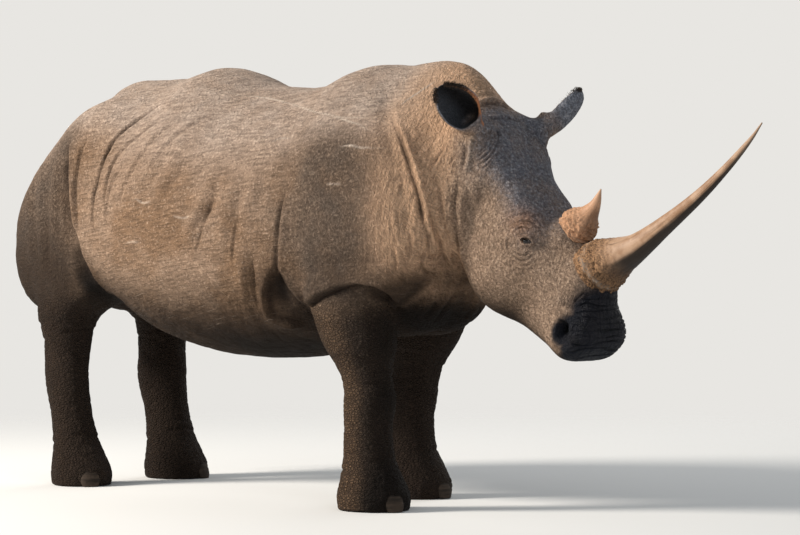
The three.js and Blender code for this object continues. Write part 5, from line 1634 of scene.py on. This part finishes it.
def nail_piece(name, leg, turn):
    """An oval shield let into the front of the foot, grooved across by its growth."""
    angle = math.radians(leg["splay"] * leg["side"] * 1.2 + turn)
    height = 0.034
    outward = np.array((math.cos(angle), math.sin(angle), 0))
    at = leaves_hide(np.array((*leg["foot"], height)), outward)
    rows, sides = 41, 56
    out = ball(rows, sides)[1]
    p = np.sign(out) * np.abs(out) ** np.array((1.0, 0.85, 0.85))
    p *= np.array((0.020, 0.042 if turn == 0 else 0.034, 0.046))
    p[:, 0] += 0.0007 * np.sin(p[:, 2] / 0.0065 * 2 * math.pi + 2 * np.sin(p[:, 1] * 90)) * (p[:, 0] > 0)
    tilt = -0.3
    lean = np.array(((math.cos(tilt), 0, math.sin(tilt)), (0, 1, 0), (-math.sin(tilt), 0, math.cos(tilt))))
    face = np.array(((outward[0], -outward[1], 0), (outward[1], outward[0], 0), (0, 0, 1)))
    p = p @ lean.T @ face.T + at - 0.011 * outward
    p[:, 2] = np.maximum(p[:, 2], 0.0012)
    piece(name + "_plate", p, grid_faces(rows, sides)[:, ::-1], "nail", NAIL, [name])


# ---- hair
def strands(name, roots, ends, bend, width, seed, skin, place):
    """Tapered three-sided hairs from roots to ends, each bowed a little to its own side."""
    random = np.random.default_rng(seed)
    rows = 5
    along = np.linspace(0, 1, rows)[:, None]
    span = ends - roots
    length = np.linalg.norm(span, axis=1, keepdims=True)
    direction = span / length
    helper = unit(random.normal(size=roots.shape))
    side = unit(np.cross(direction, helper))
    over = np.cross(direction, side)
    bow = side * random.uniform(-bend, bend, (len(roots), 1)) * length
    centre = roots[:, None] + span[:, None] * along + bow[:, None] * (4 * along * (1 - along))
    radius = width * (1 - 0.85 * along ** 1.5)
    corners = []
    for k in range(3):
        turn = 2 * math.pi * k / 3
        out = side * math.cos(turn) + over * math.sin(turn)
        corners.append(centre + out[:, None] * radius)
    points = np.stack(corners, 2).reshape(-1, 3)
    one = grid_faces(rows, 3)
    faces = (one[None] + (np.arange(len(roots)) * rows * 3)[:, None, None]).reshape(-1, 4)
    made = piece(name, points, faces, "hide", HAIR)
    # each hair is a small patch at its root's place on the skin's map
    near = skin.box(roots.min(0) - 0.06, roots.max(0) + 0.06)
    own = np.array([near[((skin.points[near] - r) ** 2).sum(1).argmin()] for r in roots])
    patch = np.array(((0, 0), (1, 0), (1, 1), (0, 1))) * 0.003 - 0.0015
    uv = place[own][:, None, None] + np.broadcast_to(patch, (len(roots), len(one), 4, 2))
    set_uv(made, uv.reshape(-1, 2))


def ear_fringe(side, skin, place):
    """Short dark hair on the upper rim of the ear, longest at its tip."""
    random = np.random.default_rng(20 + side)
    root, axis, across, opening = ear_frame(side)
    upper = 1 if across[2] > 0 else -1
    count = 900
    edge = np.where(random.random(count) < 0.8, upper, -upper)
    q = np.where(edge == upper, random.beta(2.4, 1.1, count) * 0.5 + 0.48, random.uniform(0.86, 1.0, count))
    w, depth = EAR_HALF_WIDTH(q), EAR_HALF_DEPTH(q)
    turn = random.normal(1.75, 0.2, count)
    bow = np.sin(math.pi * q)
    a = edge * (w - 0.004) * np.sin(turn) + EAR_BOW[side][0] * bow
    b = -(depth - 0.004) * np.cos(turn) + EAR_BOW[side][1] * bow
    roots = root + (EAR_LENGTH * q)[:, None] * axis + a[:, None] * across + b[:, None] * opening
    out = unit(edge[:, None] * across * 0.8 + axis * (0.3 + 1.2 * ease(q, 0.85, 1.0))[:, None]
               + opening * 0.3 + random.normal(0, 0.22, (count, 3)))
    length = (0.006 + 0.018 * ease(q, 0.65, 1.0)) * random.uniform(0.6, 1.15, count)
    length *= 0.3 if side > 0 else 1.0
    strands(f"ear_fringe_{SIDE_NAMES[side]}", roots, roots + out * length[:, None], 0.18, 0.0009, 30 + side,
            skin, place)


def tail_tuft(skin, place):
    """Coarse hair along both edges of the tail's end."""
    random = np.random.default_rng(9)
    count = 620
    path = smooth_path(TAIL_PATH, 200)
    share = 1 - 0.34 * random.beta(1.0, 1.6, count)
    at = path[(share * 199).astype(int)]
    turn = random.uniform(0, 2 * math.pi, count)
    squeeze = np.stack([np.cos(turn), 0.8 * np.sin(turn), np.zeros(count)], 1)
    roots = at + squeeze * TAIL_RADIUS(share)[:, None] * 0.8
    out = unit(squeeze * 0.28 + np.array((0, 0, -1.0)) + random.normal(0, 0.1, (count, 3)))
    length = random.uniform(0.05, 0.1, count)
    ends = roots + out * length[:, None]
    ends[:, 2] = np.maximum(ends[:, 2], TAIL_PATH[-1][2] - 0.03)
    strands("tail_tuft", roots, ends, 0.12, 0.0013, 10, skin, place)


def lashes(side, skin, place):
    """Short hairs along the edge of the upper lid."""
    random = np.random.default_rng(40 + side)
    centre = eye_centre(side)
    forward, upward, outward = eye_axes(side)
    count = 110
    a = random.uniform(-0.017, 0.017, count)
    b = 0.0075 * (1 - (a / OPENING_HALF) ** 2) + 0.001
    a = a - OPENING_BACK
    c = np.sqrt((EYE_RADIUS + LID_THICKNESS) ** 2 - a ** 2 - b ** 2)
    roots = centre + a[:, None] * forward + b[:, None] * upward + c[:, None] * outward
    out = unit(outward + 0.1 * upward + (a * 25)[:, None] * forward + random.normal(0, 0.16, (count, 3)))
    ends = roots + out * random.uniform(0.009, 0.015, count)[:, None] - np.array((0, 0, 0.004))
    strands(f"lashes_{SIDE_NAMES[side]}", roots, ends, 0.15, 0.0005, 50 + side, skin, place)


skin = made_skin()
skin_place = skin_piece(skin)
for side in (-1, 1):
    eye_piece(side)
    ear_fringe(side, skin, skin_place)
    lashes(side, skin, skin_place)
tail_tuft(skin, skin_place)
horn_piece("horn_front", FRONT_HORN, 61)
horn_piece("horn_rear", REAR_HORN, 71)
for leg_name, leg in LEGS.items():
    for number, turn in enumerate((-42, 0, 42)):
        nail_piece(f"toenail_{leg_name}_{number + 1}", leg, math.radians(turn))


# ---------------------------------------------------------------- the room
def look(made, direction):
    """Turns a lamp or camera to look along a direction."""
    made.rotation_euler = direction.to_track_quat("-Z", "Y").to_euler()


def lamp(name, place, target, size, power, colour=(1, 1, 1)):
    light = bpy.data.lights.new(name, "AREA")
    light.shape = "DISK"
    light.size = size
    light.energy = power
    light.color = colour
    look(placed(name, light, place), Vector(target) - Vector(place))


def floor():
    """A pale floor just under the feet that thins out into the backdrop."""
    wide, drop = 20.0, 0.0005
    mesh = bpy.data.meshes.new("floor")
    corners = [(x * wide, y * wide, -drop) for x, y in ((-1, -1), (1, -1), (1, 1), (-1, 1))]
    mesh.from_pydata(corners, [], [(0, 1, 2, 3)])
    placed("floor", mesh)
    m = new_material("floor")
    radius = m.node("ShaderNodeVectorMath", {"operation": "LENGTH"}, {0: m.place()}, out="Value")
    ground = m.node("ShaderNodeBsdfDiffuse", None, {"Color": rgb(236, 234, 230)})
    surface = m.either(m.step(radius, 2.6, 7.0), ground, m.node("ShaderNodeBsdfTransparent"))
    m.node("ShaderNodeOutputMaterial", None, {"Surface": surface})
    mesh.materials.append(m.owner)


def world():
    """Soft even light from all round; what the camera sees of it is a pale backdrop."""
    room = bpy.data.worlds.new("room")
    bpy.context.scene.world = room
    m = Nodes(room)
    seen, glossy, clear = [m.node("ShaderNodeLightPath", out=f"Is {kind} Ray")
                           for kind in ("Camera", "Glossy", "Transmission")]
    soft = m.node("ShaderNodeBackground", None, {"Color": (0.86, 0.93, 1.0, 1), "Strength": 0.34})
    pale = m.node("ShaderNodeBackground", None, {"Color": rgb(232, 230, 226), "Strength": 1.0})
    surface = m.either(seen.most(glossy).most(clear), soft, pale)
    m.node("ShaderNodeOutputWorld", None, {"Surface": surface})


def camera():
    """A long lens, level with the back, looking at the animal's right front quarter."""
    yaw = math.radians(45)
    distance, height = 16.0, 1.35
    to_right, down = 0.0015, 0.025375
    data = bpy.data.cameras.new("camera")
    data.sensor_width = 36
    data.lens = 180
    data.clip_end = 300
    forward = Vector((-math.sin(yaw), math.cos(yaw), 0))
    right = Vector((math.cos(yaw), math.sin(yaw), 0))
    made = placed("camera", data, Vector(SHIFT) - forward * distance + Vector((0, 0, height)))
    look(made, forward + right * to_right - Vector((0, 0, down)))
    bpy.context.scene.camera = made


floor()
world()
camera()
lamp("key", (-5.4, -7.1, 5.8), (-0.2, 0, 1.0), 2.6, 1450, (1.0, 0.95, 0.88))
lamp("fill", (8.0, -5.0, 3.5), (0.4, 0, 1.0), 5.0, 150, (0.82, 0.9, 1.0))
lamp("back", (-3.0, 7.0, 6.0), (0, 0, 1.2), 4.0, 200)
bpy.context.scene.view_settings.view_transform = "Standard"
